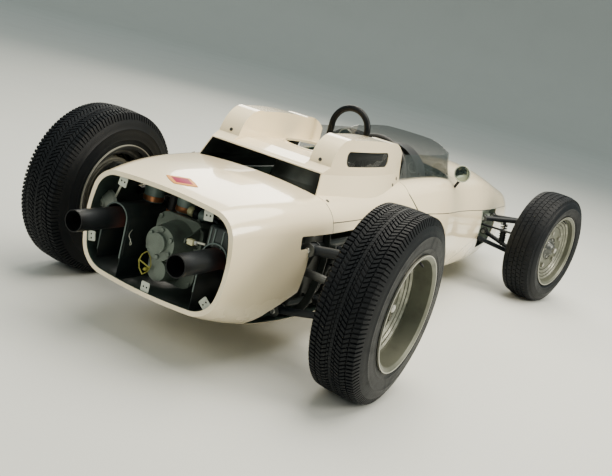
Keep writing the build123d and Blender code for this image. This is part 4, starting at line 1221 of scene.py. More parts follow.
@dataclass
class Tyre:
    """A tyre with a turned carcass and rows of tread blocks."""

    corner: Corner
    radius: float
    half: float
    bead_half: float
    pitches: int
    rows: tuple[TreadRow, ...]
    groove: float
    bore: float = 0.1963
    lip: float = 0.2086
    widest: float = 0.262
    shoulder_in: float = 0.010
    shoulder_low: float = 0.030
    crown_drop: float = 0.005
    wall_steps: int = 14
    wall_lines: tuple[tuple[int, float], ...] = ((3, 0.0012), (9, 0.0014))
    wall_sunk: float = 0.0006

    @property
    def flat(self) -> float:
        """Half width of the nearly level part of the tread."""
        return self.half - 2.2 * self.shoulder_in

    def crown(self, across: float) -> float:
        """The tread's surface.

        Args:
            across: place across the tyre.

        Returns:
            Its radius there.
        """
        place = abs(across)
        if place <= self.flat:
            return self.radius - self.crown_drop * (place / self.flat) ** 2
        share = (place - self.flat) / (self.half - self.shoulder_in - self.flat)
        return self.radius - self.crown_drop - share * (self.shoulder_low - self.crown_drop)

    def carcass(self) -> Piece:
        """The turned part: bore, side walls with their raised lines, and the floor of the tread.

        Returns:
            The carcass.
        """
        top, low = self.half - self.shoulder_in, self.radius - self.shoulder_low
        wall = arc((self.lip, self.bead_half + 0.005), (self.widest, self.half), (low, top), self.wall_steps)
        proud = dict(self.wall_lines)
        raised = [(r, z + proud.get(i, -self.wall_sunk)) for i, (r, z) in enumerate(wall)]
        side = [(self.bore, self.bead_half), *raised, (low + 0.001, top - 0.004),
                (self.crown(self.flat) - self.groove, self.flat - 0.003)]
        across = [self.flat * share for share in (0.66, 0.33, 0.0)]
        outline = side + [(self.crown(a) - self.groove, a) for a in across]
        mirror = [(r, -z) for r, z in reversed(outline[:-1])]
        return Bench.lathe(f"tyre_wall_{self.corner.name}", outline + mirror, 120, closed=True)

    def block(self, row: TreadRow) -> Piece:
        """One block: a cube whose ends are moved to slant it and to follow the crown.

        Args:
            row: the row that it belongs to.

        Returns:
            The block.
        """
        pitch = TURN * self.radius / self.pitches
        depth = self.groove + 0.004
        top = self.crown(row.place)
        piece = Bench.cube("block", (depth, pitch * row.share, row.width), (top - depth / 2, 0, row.place))
        with Bench.edit(piece):
            for way in (1, -1):
                Bench.pick(piece, lambda middle, normal: normal.z * way > SQUARE)
                drop = self.crown(row.place + way * row.width / 2) - top
                bpy.ops.transform.translate(value=(drop, way * row.slant / 2, 0))
            Bench.pick(piece, lambda middle, normal: normal.x > 0.6)
            bpy.ops.mesh.inset(thickness=0.0009, depth=0.0005)
            Bench.pick(piece, lambda middle, normal: normal.x < -0.6)
            bpy.ops.mesh.delete(type="FACE")
        return piece

    def build(self) -> None:
        """Builds the tyre, seats it at its corner and lets it stand for the CAD tyre."""
        parts = [(self.carcass(), None)]
        for row in self.rows:
            turn = Matrix.Rotation(row.shift * TURN / self.pitches, 4, "Z")
            parts.append((Bench.ring(Bench.moved(self.block(row), turn), self.pitches), None))
        name = self.corner.name
        whole = Bench.joined(f"tread_{name}", parts, self.corner.matrix)
        Bench.painted(whole, TyreRubber(f"rubber_{name}", *self.corner.axle, self.radius - 0.03))
        Bench.done(whole, "tyre_rubber", 28.0, self.corner.body)
        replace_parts(whole, f"tyre_{name}")


@dataclass
class WheelDress:
    """The hub cap with its nut and small bolts, the valve, and the finishes of rim and drum."""

    corner: Corner
    seat: float
    rim_half: float
    flange: float = 0.060
    bolts: int = 8
    bolt_circle: float = 0.0515
    valve_radius: float = 0.1845
    valve_lean: float = -0.45
    cap_outline: tuple[Flat, ...] = ((0.0, 0.0335), (0.018, 0.0330), (0.028, 0.0280), (0.0345, 0.0185),
                                     (0.0400, 0.0085), (0.0430, 0.0060))

    def build(self) -> None:
        """Dresses one wheel."""
        base, name = self.seat, self.corner.name
        rim = ((self.flange - 0.002, 0.0060), (self.flange, 0.0040), (self.flange, 0.0002), (0.0, 0.0002))
        cap = Bench.lathe("cap", [(r, base + z) for r, z in (*self.cap_outline, *rim)], 48)
        nut = Bench.moved(Bench.bolt("nut", 0.0165, 0.013), shift(0, 0, base + 0.0325))
        bolt = Bench.moved(Bench.bolt("bolt", 0.0046, 0.004), shift(self.bolt_circle, 0, base + 0.006))
        valve_place = shift(self.valve_radius, 0, self.rim_half - 0.032)
        valve = Bench.moved(Bench.bolt("valve", 0.0042, 0.030, 12),
                            valve_place @ Matrix.Rotation(self.valve_lean, 4, "Y"))
        parts = ((cap, Paint.STEEL), (nut, Paint.ZINC), (Bench.ring(bolt, self.bolts), Paint.ZINC),
                 (valve, Paint.RUBBER))
        Bench.done(Bench.joined(f"hub_cap_{name}", parts, self.corner.matrix), "drum_metal",
                   body=self.corner.body)
        dress(f"rim_{name}", RimMetal(f"rim_metal_{name}", *self.corner.axle))
        dress(f"drum_{name}", DrumMetal(f"drum_metal_{name}", *self.corner.axle, self.seat + 0.004))


@dataclass(frozen=True)
class PhotoCamera:
    """The camera as the photograph was taken, with a sight line for each of its pixels."""

    place: Point = (-3.7169, -1.5106, 1.098)
    heading: float = 0.4531
    pitch: float = -0.231
    roll: float = 0.2616
    focal: float = 808.31
    width: int = 612
    height: int = 476
    sensor: float = 36.0

    def axes(self) -> tuple[Vector, Vector, Vector]:
        """The camera's own directions.

        Returns:
            Right, up and ahead.
        """
        ahead = Vector((math.cos(self.pitch) * math.cos(self.heading),
                        math.cos(self.pitch) * math.sin(self.heading), math.sin(self.pitch)))
        level = Vector((math.sin(self.heading), -math.cos(self.heading), 0))
        upright = level.cross(ahead)
        right = math.cos(self.roll) * level + math.sin(self.roll) * upright
        return right, right.cross(ahead), ahead

    def sight(self, across: float, down: float) -> Vector:
        """The direction in which a pixel of the photograph looks.

        Args:
            across: pixels from its left edge.
            down: pixels from its upper edge.

        Returns:
            The direction.
        """
        right, up, ahead = self.axes()
        return (ahead + right * (across - self.width / 2) / self.focal
                + up * (self.height / 2 - down) / self.focal).normalized()

    def build(self) -> None:
        """Sets the camera up."""
        right, up, ahead = self.axes()
        data = bpy.data.cameras.new("photo_camera")
        data.sensor_width = self.sensor
        data.lens = self.focal * self.sensor / self.width
        camera = bpy.data.objects.new("photo_camera", data)
        bpy.context.scene.collection.objects.link(camera)
        turned_to = Matrix((right, up, -ahead)).transposed().to_4x4()
        turned_to.translation = Vector(self.place)
        camera.matrix_world = turned_to
        bpy.context.scene.camera = camera


@dataclass(frozen=True)
class Studio:
    """A pale round floor that curves up at its edge, and soft lights over it."""

    floor_radius: float = 24.0
    rise: tuple[Flat, ...] = ((0.0, 0.0), (1.5, 0.12), (3.0, 0.5), (4.5, 1.3), (5.6, 2.6), (6.0, 4.4),
                              (6.1, 7.2))
    lights: tuple[tuple[str, Point, Point, float, float], ...] = (
        ("overhead", (0.4, -0.8, 5.5), (0.0, 0.0, 0.3), 6.0, 760.0),
        ("side_key", (1.0, -7.0, 4.2), (0.0, 0.0, 0.4), 3.5, 520.0),
        ("tail_fill", (-7.5, 1.0, 4.5), (-0.8, 0.0, 0.4), 3.5, 150.0),
        ("nose_fill", (6.0, 4.0, 4.5), (0.6, 0.0, 0.4), 4.0, 260.0),
    )
    warm: Colour = (1.0, 0.93, 0.80)
    sky: Colour = (0.76, 0.88, 0.86)
    sky_strength: float = 0.60

    def floor(self) -> None:
        """The floor, which shows its upper side."""
        edge = self.floor_radius
        level = ((0.0, 0.0), (edge * 0.25, 0.0), (edge * 0.5, 0.0))
        floor = Bench.lathe("studio_floor", (*level, *((edge + r, z) for r, z in self.rise)), 96)
        with Bench.edit(floor):
            Bench.on_all("normals_make_consistent", inside=True)
        Bench.painted(floor, Paint.FLOOR)
        Bench.only(floor)
        bpy.ops.object.shade_smooth_by_angle(angle=math.radians(40))

    def build(self) -> None:
        """Builds the floor, the lights and the sky."""
        self.floor()
        for name, place, target, size, power in self.lights:
            data = bpy.data.lights.new(name, "AREA")
            data.shape = "DISK"
            data.size = size
            data.energy = power
            data.color = self.warm
            lamp = bpy.data.objects.new(name, data)
            bpy.context.scene.collection.objects.link(lamp)
            lamp.location = place
            lamp.rotation_mode = "QUATERNION"
            lamp.rotation_quaternion = (Vector(target) - Vector(place)).to_track_quat("-Z", "Y")
        world = bpy.data.worlds.new("studio_sky")
        world.use_nodes = True
        background = world.node_tree.nodes["Background"]
        background.inputs["Color"].default_value = (*self.sky, 1.0)
        background.inputs["Strength"].default_value = self.sky_strength
        bpy.context.scene.world = world


@dataclass
class BodyDress:
    """Paint of the panels, the screws that the photograph shows, and a badge on the tail."""

    camera: PhotoCamera
    badge_pixel: Flat = (182.0, 181.0)
    badge_half: float = 0.066
    badge_share: float = 0.62
    badge_bulge: float = 0.55
    badge_thick: float = 0.0016
    screw: float = 0.007
    screws: tuple[tuple[Point, Point], ...] = (
        ((-1.084, 0.202, 1.2), (0, 0, -1)), ((-1.150, 0.500, 0.582), (0, -1, 0)),
        ((-0.470, 0.600, 0.640), (0, -1, 0)), ((-0.530, 0.500, 0.618), (0, -1, 0)))

    def badge(self) -> None:
        """A lozenge of red and gold enamel on top of the tail."""
        place, normal = Skin("tail_shell").hit(self.camera.place, self.camera.sight(*self.badge_pixel))
        long, short = self.badge_half, self.badge_half * self.badge_share
        x, y = short * self.badge_bulge, long * self.badge_bulge
        corners = ((-short, 0), (-x, y), (0, long), (x, y), (short, 0), (x, -y), (0, -long), (-x, -y))
        piece = Bench.slab("tail_badge", corners, self.badge_thick)
        with Bench.edit(piece):
            Bench.pick(piece, lambda middle, normal: normal.z > SQUARE)
            bpy.ops.mesh.inset(thickness=0.0022)
            bpy.ops.transform.translate(value=(0, 0, 0.0006))
        Bench.moved(piece, facing(place + normal * (self.badge_thick / 2 - 0.0004), normal, (1, 0, 0)))
        Bench.done(Bench.painted(piece, BadgeEnamel("badge_enamel", tuple(place), long, short)), "body_paint")

    def build(self) -> None:
        """Dresses the body."""
        for node in ("tail_shell", "belly_pan", "side_panels", "upper_body"):
            dress(node, BodyPaint("body_cream"))
        dress("frame", FramePaint("frame_paint"))
        # Painted shade: near black on the deck's underside and on the inner walls of its humps.
        dress("engine_deck", BodyPaint("deck_cream", True, inside_shade=(0.012, 0.016, 0.015)))
        self.badge()
        heads = Bench.copies(Bench.bolt("screw", self.screw, 0.0022, 14),
                             Skin("engine_deck").seats(self.screws, SUNK))
        Bench.done(Bench.joined("deck_screws", [(head, Paint.SCREW) for head in heads]), "dark_steel")


@dataclass
class FootboxLiner:
    """Ribbed sheet between the frame's rails on each side of the footbox, open round the tie rod."""

    rear_x: float = 0.800
    front_x: float = 1.262
    low_z: float = 0.176
    high_z: float = 0.452
    ribs: tuple[float, ...] = (0.225, 0.262, 0.318, 0.368)
    rib_half: float = 0.006
    rib_rise: float = 0.005
    rod_x: float = 0.9435
    rod_z: Flat = (0.3625, 0.3462)
    hole: float = 0.028
    sheet: float = 0.0016
    end_shifts: Flat = (-0.016, -0.050)
    end_heights: tuple[float, ...] = (0.205, 0.235, 0.270, 0.305, 0.340, 0.370, 0.398, 0.420)
    skin_gap: float = 0.0015
    top_rail_y: float = 0.324
    low_rail_y: float = 0.275
    taper: float = 0.034
    rail_radius: float = 0.0165

    def rod_height(self, side: int) -> float:
        """Height of the tie rod where it passes the sheet."""
        return self.rod_z[0 if side > 0 else 1]

    def inner_y(self, x: float, z: float) -> float:
        """Half width of the inner faces of the rails.

        Args:
            x: place along the car.
            z: height above the ground.

        Returns:
            The half width there.
        """
        share = (x - 0.827) / 0.450
        top, low = self.top_rail_y - self.taper * share, self.low_rail_y - self.taper * share
        return low + (top - low) * (z - 0.17) / 0.21 - self.rail_radius

    def side(self, name: str, side: int) -> None:
        """One side's sheet.

        Args:
            name: left or right.
            side: 1 on the left and -1 on the right.
        """
        length, height = self.front_x - self.rear_x, self.high_z - self.low_z
        rod_z = self.rod_height(side)
        Bench.clear()
        bpy.ops.mesh.primitive_grid_add(x_subdivisions=48, y_subdivisions=64, size=1.0,
                                        location=(self.rear_x + length / 2, self.low_z + height / 2, 0))
        bpy.ops.transform.resize(value=(length, height, 1))
        sheet = Bench.settled(f"footbox_liner_{name}")
        with Bench.edit(sheet):
            Bench.pick(sheet, lambda middle, normal: any(abs(middle.y - rib) < self.rib_half
                                                         for rib in self.ribs))
            bpy.ops.transform.translate(value=(0, 0, self.rib_rise))
            Bench.pick(sheet, lambda middle, normal: math.hypot(middle.x - self.rod_x,
                                                                middle.y - rod_z) < self.hole)
            bpy.ops.mesh.delete(type="FACE")
        for vertex in sheet.data.vertices:
            x, z, rise = vertex.co
            vertex.co = Vector((x, side * (self.inner_y(x, z) + rise), z))
        Bench.apply(sheet, "SOLIDIFY", thickness=self.sheet, offset=0.0)
        with Bench.edit(sheet):
            Bench.on_all("normals_make_consistent", inside=False)
        Bench.done(Bench.painted(sheet, Paint.LINER), "frame_paint", 30.0)

    def closing(self, name: str, side: int) -> None:
        """The sheets that close the recess at its front and at its rear, fitted inside the skin.

        Args:
            name: left or right.
            side: 1 on the left and -1 on the right.
        """
        sheets = []
        skins = (Skin("belly_pan"), Skin("side_panels"))
        for x in (self.rear_x + self.end_shifts[0], self.front_x + self.end_shifts[1]):
            outer, inner = [], []
            for z in self.end_heights:
                start = (x, side * (self.inner_y(x, z) + 0.005), z)
                hits = [hit[0].y for hit in (skin.hit(start, (0, side, 0)) for skin in skins) if hit]
                if hits:
                    outer.append((min(hits, key=abs) - side * self.skin_gap, z))
                    inner.append((side * self.inner_y(x, z), z))
            if len(outer) > 2:
                sheet = Bench.slab("sheet", outer + inner[::-1], self.sheet)
                Bench.moved(sheet, Matrix(((0, 0, 1, x), (1, 0, 0, 0), (0, 1, 0, 0), (0, 0, 0, 1))))
                sheets.append((sheet, Paint.LINER))
        Bench.done(Bench.joined(f"recess_ends_{name}", sheets), "frame_paint", 30.0)

    def boot(self, name: str, side: int) -> None:
        """The rubber ring and bellows round the tie rod, wide enough for the rod's swing.

        Args:
            name: left or right.
            side: 1 on the left and -1 on the right.
        """
        outline = [(0.037, -0.003), (0.037, 0.002), (0.032, 0.003)]
        for fold in range(4):
            low, shrink = 0.003 + fold * 0.007, 0.0022 * fold
            outline += [(0.027 - shrink, low + 0.002), (0.032 - shrink, low + 0.0055)]
        outline += [(0.0212, 0.034), (0.0192, 0.034), (0.0192, 0.028), (0.025, 0.004), (0.025, -0.003)]
        boot = Bench.lathe(f"rod_boot_{name}", outline, 28, closed=True)
        rod_z = self.rod_height(side)
        place = (self.rod_x, side * (self.inner_y(self.rod_x, rod_z) + 0.001), rod_z)
        Bench.moved(boot, facing(place, (0, side, 0)))
        Bench.done(Bench.painted(boot, Paint.RUBBER), "grip_black")

    def build(self) -> None:
        """Builds both sides."""
        for name, side in SIDES:
            self.side(name, side)
            self.closing(name, side)
            self.boot(name, side)


@dataclass
class DeckDress:
    """Woven mesh in the deck's windows, and the fan's nut."""

    window_x: float = -0.8025
    window_z: float = 0.723
    half_length: float = 0.1915
    half_height: float = 0.033
    cell: float = 0.0078
    wire: float = 0.0024
    start_y: float = 0.45
    missed_y: float = 0.44
    fan_hub: Point = (-0.715, 0, 0.6418)

    def grille(self, side: int) -> Piece:
        """One window's mesh, woven aslant, cut to size and laid on the CAD grille.

        Args:
            side: 1 on the left and -1 on the right.

        Returns:
            The mesh.
        """
        reach = 1.45 * self.half_length
        count = int(2 * reach / self.cell)
        Bench.clear()
        bpy.ops.mesh.primitive_grid_add(x_subdivisions=count, y_subdivisions=count, size=2 * reach)
        weave = Bench.moved(Bench.named("weave"), turned(45))
        with Bench.edit(weave):
            for x, y, limit in ((1, 0, self.half_length), (0, 1, self.half_height),
                                (-1, 0, self.half_length), (0, -1, self.half_height)):
                Bench.on_all("bisect", plane_co=(x * limit, y * limit, 0), plane_no=(x, y, 0),
                             clear_outer=True)
        Bench.moved(weave, shift(self.window_x, side * self.start_y, self.window_z) @ turned(90, "X"))
        Bench.apply(weave, "SHRINKWRAP", target=CAD["deck_grilles"], wrap_method="PROJECT",
                    use_project_y=True, use_negative_direction=side > 0,
                    use_positive_direction=side < 0)
        with Bench.edit(weave, "VERT"):
            Bench.pick(weave, lambda middle, normal: abs(middle.y) > self.missed_y, "verts")
            bpy.ops.mesh.delete(type="VERT")
        return Bench.apply(weave, "WIREFRAME", thickness=self.wire, use_even_offset=False)

    def build(self) -> None:
        """Builds the meshes and the fan's nut."""
        whole = Bench.joined("deck_mesh", [(self.grille(side), Paint.MESH) for _, side in SIDES])
        Bench.done(whole, "mesh_metal", 50.0)
        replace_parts(whole, "deck_grilles")
        washer = Bench.lathe("washer", ((0.0, 0.0), (0.018, 0.0), (0.018, 0.003), (0.0, 0.003)), 24)
        nut = Bench.moved(Bench.bolt("nut", 0.013, 0.010), shift(0, 0, 0.003))
        parts = ((nut, Paint.ZINC), (washer, Paint.ZINC))
        Bench.done(Bench.joined("fan_nut", parts, shift(*self.fan_hub)), "fan_metal", body="cooling_fan")


@dataclass
class TailDress:
    """What shows in the open tail besides the CAD pieces: bolts, a link, rods, cans and folds."""

    cover_x: float = -1.650
    cover_z: float = 0.362
    cover_circle: float = 0.047
    plate_x: float = -1.559
    plate_y: float = 0.082
    plate_z: tuple[float, ...] = (0.236, 0.286, 0.376, 0.426)
    shroud_x: float = -1.640
    shroud_z: float = 0.252
    pipe_y: float = 0.208
    arch_z: float = 0.382
    arch: float = 0.0495
    pump_x: float = -1.515
    pump_z: float = 0.464

    @staticmethod
    def keep(name: str, slot: str, angle: float, *parts: tuple[Piece, Paint]) -> None:
        """Joins parts and lets them ride on the chassis."""
        Bench.done(Bench.joined(name, parts), slot, angle)

    def gearbox_bolts(self) -> None:
        """Bolts round the end plate and on the round cover."""
        places = [(self.plate_x, y, z) for y in (-self.plate_y, self.plate_y) for z in self.plate_z]
        for step in range(6):
            angle = math.radians(30 + 60 * step)
            places.append((self.cover_x, self.cover_circle * math.cos(angle),
                           self.cover_z + self.cover_circle * math.sin(angle)))
        bolts = Bench.copies(Bench.bolt("bolt", 0.0085, 0.006),
                             [facing((x + SUNK_LITTLE, y, z), (-1, 0, 0)) for x, y, z in places])
        self.keep("gearbox_bolts", "gearbox_cast", 35.0, *((bolt, Paint.GEARBOX) for bolt in bolts))

    def link(self) -> None:
        """The olive link: a pointed oval frame with a bar across, on a pin of the lower cover."""
        outline = ((0.0, -0.042), (0.018, -0.025), (0.026, 0.0), (0.018, 0.025), (0.0, 0.042),
                   (-0.018, 0.025), (-0.026, 0.0), (-0.018, -0.025))
        frame = Bench.slab("link", outline, 0.002)
        with Bench.edit(frame):
            Bench.pick(frame, lambda middle, normal: normal.z < SQUARE)
            bpy.ops.mesh.delete(type="FACE")
            Bench.on_all("bisect", plane_co=(0, 0.004, 0), plane_no=(0.25, 1, 0))
        Bench.apply(frame, "WIREFRAME", thickness=0.0055, use_even_offset=True)
        Bench.apply(frame, "BEVEL", width=0.0008, segments=1)
        Bench.moved(frame, facing((-1.650, 0.041, 0.280), (-1, 0, 0), (0, 1, 0)))
        pin = Bench.moved(Bench.bolt("pin", 0.006, 0.024, 12), facing((-1.632, 0.032, 0.262), (-1, 0, 0)))
        self.keep("olive_link", "gearbox_cast", 30.0, (frame, Paint.OLIVE), (pin, Paint.OLIVE))

    def bracket(self) -> None:
        """The bracket at the gearbox's right, with the pale block and its rod."""
        outline = ((0.0, 0.040), (0.0, -0.040), (-0.055, -0.022), (-0.080, -0.006), (-0.080, 0.008),
                   (-0.055, 0.014))
        plate = Bench.slab("plate", outline, 0.004)
        with Bench.edit(plate):
            Bench.pick(plate, lambda middle, normal: abs(normal.z) > SQUARE)
            bpy.ops.mesh.inset(thickness=0.004, depth=-0.0006, use_individual=True)
        Bench.moved(plate, facing((self.plate_x, -0.084, 0.400), (0, -1, 0), (1, 0, 0)))
        block = Bench.block("block", (0.019, 0.024, 0.019), (-1.630, -0.104, 0.402), 0.003)
        rod = Bench.tube("rod", ((-1.630, -0.084, 0.402), (-1.630, -0.158, 0.412)), 0.0035)
        collar = Bench.moved(Bench.bolt("collar", 0.0075, 0.008),
                             facing((-1.630, -0.119, 0.404), (0, -1, 0.1)))
        self.keep("clutch_bracket", "gearbox_cast", 30.0, (plate, Paint.GEARBOX), (block, Paint.STRAW),
                  (rod, Paint.WIRE), (collar, Paint.ZINC))

    def cans(self) -> None:
        """Copper band, bead and lid of the two cans."""
        parts = []
        for x, y, low, top, r in ((-1.460, self.pipe_y, 0.4323, 0.530, 0.036),
                                  (-1.480, 0.050, 0.443, 0.512, 0.034)):
            band = ((r, 0.002), (r + 0.0012, 0.003), (r + 0.0012, 0.020), (r, 0.021))
            bead = ((r, 0.0), (r + 0.0014, 0.0015), (r + 0.0014, 0.0035), (r, 0.005))
            lid = ((0.0, 0.0), (r, 0.0), (r, 0.002), (r - 0.003, 0.005), (0.012, 0.007), (0.009, 0.014),
                   (0.0, 0.0145))
            for outline, z, closed, paint in ((band, low, True, Paint.COPPER),
                                              (bead, top - 0.016, True, Paint.CAN),
                                              (lid, top, False, Paint.CAN)):
                parts.append((Bench.moved(Bench.lathe("trim", outline, 40, closed), shift(x, y, z)), paint))
        self.keep("can_trim", "can_paint", 35.0, *parts)

    def cup(self) -> None:
        """The stepped grey cup beside the left shroud, and the rod from it to the tail's plate."""
        outline = ((0.0, 0.036), (0.013, 0.036), (0.0145, 0.034), (0.0150, 0.029), (0.0205, 0.028),
                   (0.0215, 0.026), (0.0325, 0.004), (0.0370, 0.001), (0.0375, -0.010), (0.0, -0.010))
        cup = Bench.moved(Bench.lathe("cup", outline, 44),
                          facing((-1.578, 0.296, 0.408), (-0.86, 0.40, -0.25)))
        arm = Bench.block("arm", (0.004, 0.050, 0.024), (-1.570, 0.268, 0.402), 0.0012, 1)
        rod = Bench.tube("rod", ((-1.584, 0.272, 0.430), (-1.606, 0.250, 0.449), (-1.655, 0.200, 0.494),
                                 (-1.672, 0.180, 0.507)), 0.0036)
        self.keep("tail_cup", "can_paint", 30.0, (cup, Paint.TAB), (arm, Paint.CAN), (rod, Paint.WIRE))

    def riser(self) -> None:
        """The taller dark box over the right shroud, with upright folds in its rear face."""
        box = Bench.block("box", (0.120, 0.092, 0.075), (-1.574, -0.204, 0.4465), 0.012, 3)
        folds = [Bench.block("fold", (0.005, 0.005, 0.058), (-1.635, y, 0.447), 0.0018)
                 for y in (-0.172, -0.188, -0.220)]
        self.keep("shroud_riser", "pipe_steel", 40.0, (box, Paint.SHROUD),
                  *((fold, Paint.EDGE) for fold in folds))

    def breather(self) -> None:
        """The dark pipe from the top of the gearbox forward to the engine."""
        pipe = Bench.tube("pipe", ((-1.470, 0.112, 0.385), (-1.470, 0.112, 0.450), (-1.462, 0.113, 0.505),
                                   (-1.390, 0.116, 0.528), (-1.270, 0.120, 0.520), (-1.120, 0.120, 0.500),
                                   (-1.048, 0.120, 0.470)), 0.018)
        outline = ((0.0182, 0.0), (0.0205, 0.001), (0.0205, 0.011), (0.0182, 0.012))
        clip = Bench.moved(Bench.lathe("clip", outline, closed=True), shift(-1.470, 0.112, 0.418))
        self.keep("breather_pipe", "grip_black", 35.0, (pipe, Paint.RUBBER), (clip, Paint.COPPER))

    def pump(self) -> None:
        """The small pump across the top of the gearbox: straw, black and green turned parts."""
        shapes = (
            (Paint.STRAW, ((0.0, 0.0), (0.015, 0.0), (0.017, 0.003), (0.017, 0.020), (0.012, 0.022),
                           (0.012, 0.030), (0.0, 0.030))),
            (Paint.HOOP_BLACK, ((0.0, 0.028), (0.021, 0.028), (0.023, 0.031), (0.023, 0.046),
                                (0.020, 0.049), (0.0, 0.049))),
            (Paint.CAN, ((0.0, 0.048), (0.018, 0.048), (0.019, 0.052), (0.019, 0.072), (0.013, 0.078),
                         (0.008, 0.079), (0.008, 0.090), (0.0, 0.091))))
        place = facing((self.pump_x, 0.008, self.pump_z), (0, -1, 0))
        parts = [(Bench.moved(Bench.lathe("part", outline), place), paint) for paint, outline in shapes]
        foot = Bench.block("foot", (0.030, 0.034, 0.030), (self.pump_x, -0.034, 0.444), 0.004)
        pipe = Bench.tube("pipe", ((self.pump_x, -0.080, self.pump_z), (self.pump_x, -0.105, 0.466),
                                   (-1.520, -0.122, 0.450), (-1.530, -0.128, 0.420),
                                   (-1.530, -0.110, 0.395)), 0.005)
        self.keep("gearbox_pump", "gearbox_cast", 35.0, *parts, (foot, Paint.GEARBOX),
                  (pipe, Paint.SATIN_BLACK))

    def skirt(self, side: int, across: float, low: float) -> Piece:
        """A wall of a shroud below the CAD sheet, folded inwards at its foot.

        Args:
            side: 1 on the left and -1 on the right.
            across: its place across the car.
            low: height of its foot.

        Returns:
            The wall.
        """
        top = self.shroud_z
        wall = Bench.cube("skirt", (0.244, 0.0016, top - low), (-1.516, across, (top + low) / 2))
        with Bench.edit(wall):
            Bench.pick(wall, lambda middle, normal: normal.z < -SQUARE)
            for way in ((0, -side * 0.004, -0.004), (0, -side * 0.006, 0)):
                bpy.ops.mesh.extrude_region_move(TRANSFORM_OT_translate={"value": way})
        return wall

    def shroud_edge(self, name: str, side: int) -> None:
        """The rolled edge of a shroud, its lock wire, its seam and its skirts.

        Args:
            name: left or right.
            side: 1 on the left and -1 on the right.
        """
        middle = side * self.pipe_y
        inner = middle - side * (self.arch + 0.0008)
        curve = [(middle + self.arch * math.cos(math.pi * i / 12),
                  self.arch_z + self.arch * math.sin(math.pi * i / 12)) for i in range(13)]
        path = [(middle + self.arch, self.shroud_z), *curve, (middle - self.arch, self.shroud_z)]
        edge = Bench.tube("edge", [(self.shroud_x, y, z) for y, z in path], 0.0026, smooth=False)
        wire = Bench.tube("wire", [(x, inner - side * y, z) for x, y, z in (
            (-1.600, 0.0, 0.352), (-1.634, 0.012, 0.344), (-1.644, 0.034, 0.328), (-1.640, 0.040, 0.316),
            (-1.636, 0.026, 0.306), (-1.600, 0.0, 0.318))], 0.0011)
        seam_x = self.shroud_x + 0.012
        seam = Bench.tube("seam", ((seam_x, inner, 0.26), (seam_x, inner, 0.37)), 0.0012)
        skirts = [self.skirt(side, across, low)
                  for across, low in ((inner, 0.180), (middle + side * self.arch, 0.226))]
        self.keep(f"shroud_edge_{name}", "pipe_steel", 40.0, (edge, Paint.EDGE), (wire, Paint.WIRE),
                  *((wall, Paint.SHROUD) for wall in (seam, *skirts)))

    def build(self) -> None:
        """Builds all of it."""
        for build in (self.gearbox_bolts, self.link, self.bracket, self.cans, self.cup, self.riser, self.pump,
                      self.breather):
            build()
        for name, side in SIDES:
            self.shroud_edge(name, side)
        dress("exhausts", PipeSteel("pipe_steel"))


@dataclass(frozen=True)
class DamperPlace:
    """One damper on the left: its foot, its head, and its spring's radius, wire and turns."""

    foot: Point
    head: Point
    coil: float
    wire: float
    turns: int


@dataclass
class DamperSet:
    """Four dampers with real coil springs, in place of the CAD solids."""

    places: tuple[DamperPlace, ...] = (
        DamperPlace((0.983, 0.465, 0.2585), (0.995, 0.442, 0.396), 0.022, 0.0030, 7),
        DamperPlace((-1.161, 0.4375, 0.2315), (-1.161, 0.402, 0.446), 0.030, 0.0042, 7),
    )
    low_seat: float = 0.14
    high_seat: float = 0.86
    body_top: float = 0.57

    def spring(self, place: DamperPlace, low: float, high: float) -> Piece:
        """The coil between two seats.

        Args:
            place: the damper.
            low: height of the lower seat along the damper.
            high: height of the upper seat.

        Returns:
            The coil, with its ends filled.
        """
        Bench.clear()
        bpy.ops.mesh.primitive_circle_add(vertices=8, radius=place.wire, rotation=(math.radians(90), 0, 0),
                                          location=(place.coil - place.wire, 0, low + place.wire))
        coil = Bench.settled("coil")
        pitch = (high - low - 2 * place.wire) / place.turns
        Bench.apply(coil, "SCREW", angle=TURN, screw_offset=pitch, iterations=place.turns, steps=20,
                    render_steps=20, use_smooth_shade=True)
        with Bench.edit(coil, "EDGE"):
            Bench.on_all("remove_doubles", threshold=MERGE)
            Bench.on_all("fill_holes", sides=0)
            Bench.on_all("normals_make_consistent", inside=False)
        return coil

    def damper(self, place: DamperPlace, side: int) -> list[tuple[Piece, Paint]]:
        """One damper on one side: eyes, body, rod, seats and spring.

        Args:
            place: the damper.
            side: 1 on the left and -1 on the right.

        Returns:
            Its parts, each with its finish.
        """
        foot, head = (Vector((x, side * y, z)) for x, y, z in (place.foot, place.head))
        length = (head - foot).length
        low, high, coil = self.low_seat * length, self.high_seat * length, place.coil
        rod_low, body_top = 0.56 * length, self.body_top * length
        body = ((0.0, 0.0), (0.0085, 0.0), (0.0085, 0.006), (0.006, 0.010), (0.009, low - 0.006),
                (coil, low - 0.005), (coil, low), (0.0165, low + 0.001), (0.0165, rod_low),
                (0.0150, body_top), (0.0, body_top))
        rod = ((0.0, rod_low), (0.006, rod_low), (0.006, high + 0.002), (0.0, high + 0.002))
        top = ((0.0, high), (coil, high), (coil, high + 0.005), (0.010, high + 0.007),
               (0.009, length - 0.004), (0.007, length), (0.0, length))
        parts = [(Bench.lathe("body", body), Paint.SATIN_BLACK), (Bench.lathe("rod", rod, 20), Paint.BRIGHT),
                 (Bench.lathe("top", top), Paint.SATIN_BLACK),
                 (self.spring(place, low, high), Paint.HOOP_BLACK)]
        matrix = facing(foot, head - foot, (1, 0, 0))
        return [(Bench.moved(part, matrix), paint) for part, paint in parts]

    def build(self) -> None:
        """Builds all four and hides the CAD solids."""
        parts = [part for place in self.places for _, side in SIDES for part in self.damper(place, side)]
        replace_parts(Bench.done(Bench.joined("spring_dampers", parts), "dark_steel"), "dampers")


